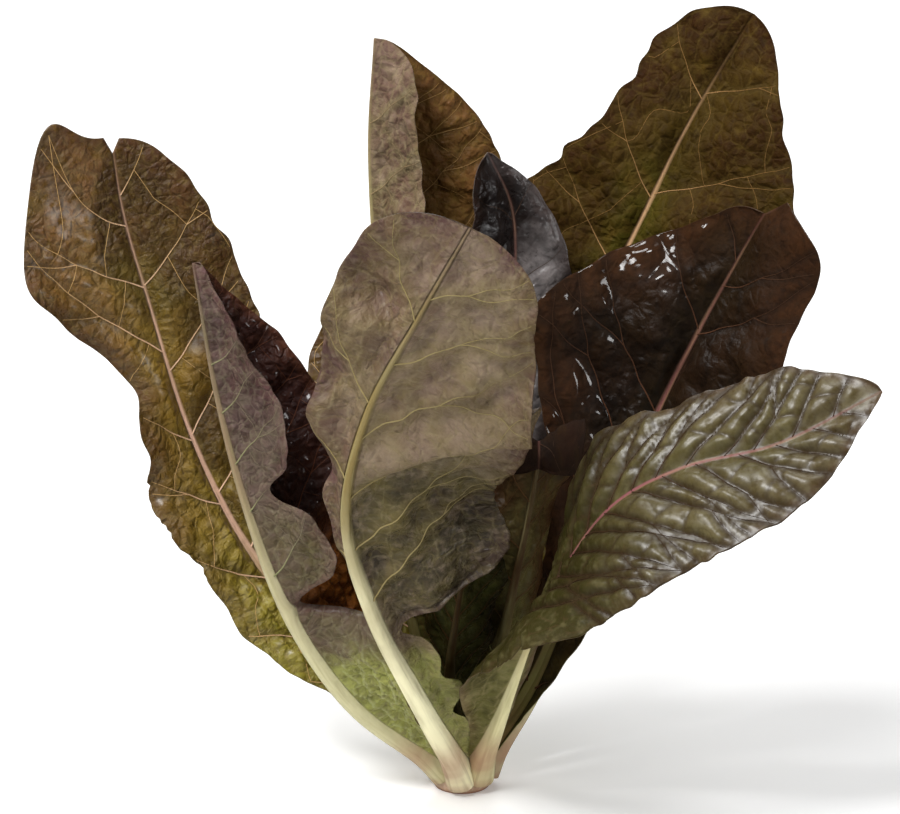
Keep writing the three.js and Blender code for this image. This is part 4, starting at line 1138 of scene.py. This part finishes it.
grow_leaf("leaf_back_low", {
    "rib": [(5, 8.5, 6), (20, 27, 37), (37, 44, 72), (51, 58, 104), (61, 65, 132)],
    "face": [(-0.6, -0.6, 0.5), (-0.6, -0.6, 0.5), (-0.5, -0.65, 0.6), (-0.45, -0.7, 0.55),
             (-0.4, -0.75, 0.5)],
    "left": [5, 7, 11, 16, 21, 24, 26, 27, 27, 25, 20],
    "right": [5, 7, 11, 16, 21, 24, 26, 27, 27, 25, 20],
    "lift": {"left": [15, 15, 10, 10, 10, 10, 10], "right": [15, 15, 10, 10, 10, 10, 10]},
    "roll": {"left": [0, 0, 0, -10, -10, -10, 0], "right": [0, 0, 0, -10, -10, -10, 0]},
    "wave": {"left": (2, 4, 0.3), "right": (2, 4, 0.1)},
    "petiole": (4.4, 4.8),
    "cells": (7, 0.8, 0.5),
    "veins": (18.0, 52.0, 9.0, 0.4, 12.0), "quilt": (1.4, 4.5), "slimming": 1.8,
}, OLIVE_UPPER, BRONZE_UNDER, rows=150, columns=40, seed=23)


# The stage. A plain pale floor that is white further off, and round soft lamps: the main one at the
# front left, one over the left for the sheen, a weak one above, a small one on the right, and one
# behind that lights the floor. The camera stands where the photograph was taken from.
def floor_piece():
    material, shade, surface = new_finish("pale_floor")
    where = shade.make("ShaderNodeTexCoord", out="Object")
    grain = shade.noise(where, 6.0, 2.0)
    pale = grain.blend((0.93, 0.93, 0.93, 1.0), (0.95, 0.95, 0.95, 1.0))
    shade.feed(surface.inputs["Base Color"], pale)
    surface.inputs["Roughness"].default_value = 0.9
    away = shade.make("ShaderNodeVectorMath", {"operation": "LENGTH"}, {0: where}, "Value")
    glow = away.ease(1.3, 2.2).blend((0.18, 0.18, 0.18, 1.0), (1.0, 1.0, 1.0, 1.0))
    shade.feed(surface.inputs["Emission Color"], glow)
    surface.inputs["Emission Strength"].default_value = 1.0
    surface.inputs["Specular IOR Level"].default_value = 0.1
    points = [(-6, -6, 0), (6, -6, 0), (6, 6, 0), (-6, 6, 0)]
    return mesh_piece("floor", points, [(0, 1, 2, 3)], material, smooth=False)


floor = floor_piece()
floor.visible_glossy = False


def soft_light(name, place, aim, size, power):
    data = bpy.data.lights.new(name, "AREA")
    data.shape = "DISK"
    data.size = size
    data.energy = power
    light = bpy.data.objects.new(name, data)
    light.location = place
    toward = np.array(aim) - np.array(place)
    flat = math.hypot(toward[0], toward[1])
    light.rotation_euler = (math.atan2(flat, -toward[2]), 0.0, math.atan2(-toward[0], toward[1]))
    bpy.context.scene.collection.objects.link(light)


soft_light("key_light", (-0.6, -0.8, 1.35), (0.0, 0.0, 0.1), 0.5, 21.0)
soft_light("sheen_light", (-0.87, -0.05, 1.33), (0.0, 0.0, 0.1), 0.4, 10.5)
soft_light("top_light", (0.3, 0.2, 1.6), (0.0, 0.0, 0.1), 0.8, 6.0)
soft_light("right_light", (1.15, -0.75, 0.55), (0.0, 0.0, 0.14), 0.3, 3.5)
soft_light("back_light", (0.2, 1.9, 1.6), (0.2, 1.7, 0.0), 1.6, 34.0)

world = bpy.data.worlds.new("white_room")
world.use_nodes = True
world.node_tree.nodes["Background"].inputs["Color"].default_value = (1.0, 1.0, 1.0, 1.0)
world.node_tree.nodes["Background"].inputs["Strength"].default_value = 0.06
bpy.context.scene.world = world
bpy.context.scene.view_settings.view_transform = "Standard"

CAMERA_DROP = math.radians(18.0)
lens = bpy.data.cameras.new("front_camera")
lens.lens = 157.6
lens.sensor_width = 36.0
camera = bpy.data.objects.new("front_camera", lens)
camera.location = (-0.00396, -1.19806, 0.51975)
camera.rotation_euler = (math.pi / 2.0 - CAMERA_DROP, 0.0, 0.0)
bpy.context.scene.collection.objects.link(camera)
bpy.context.scene.camera = camera
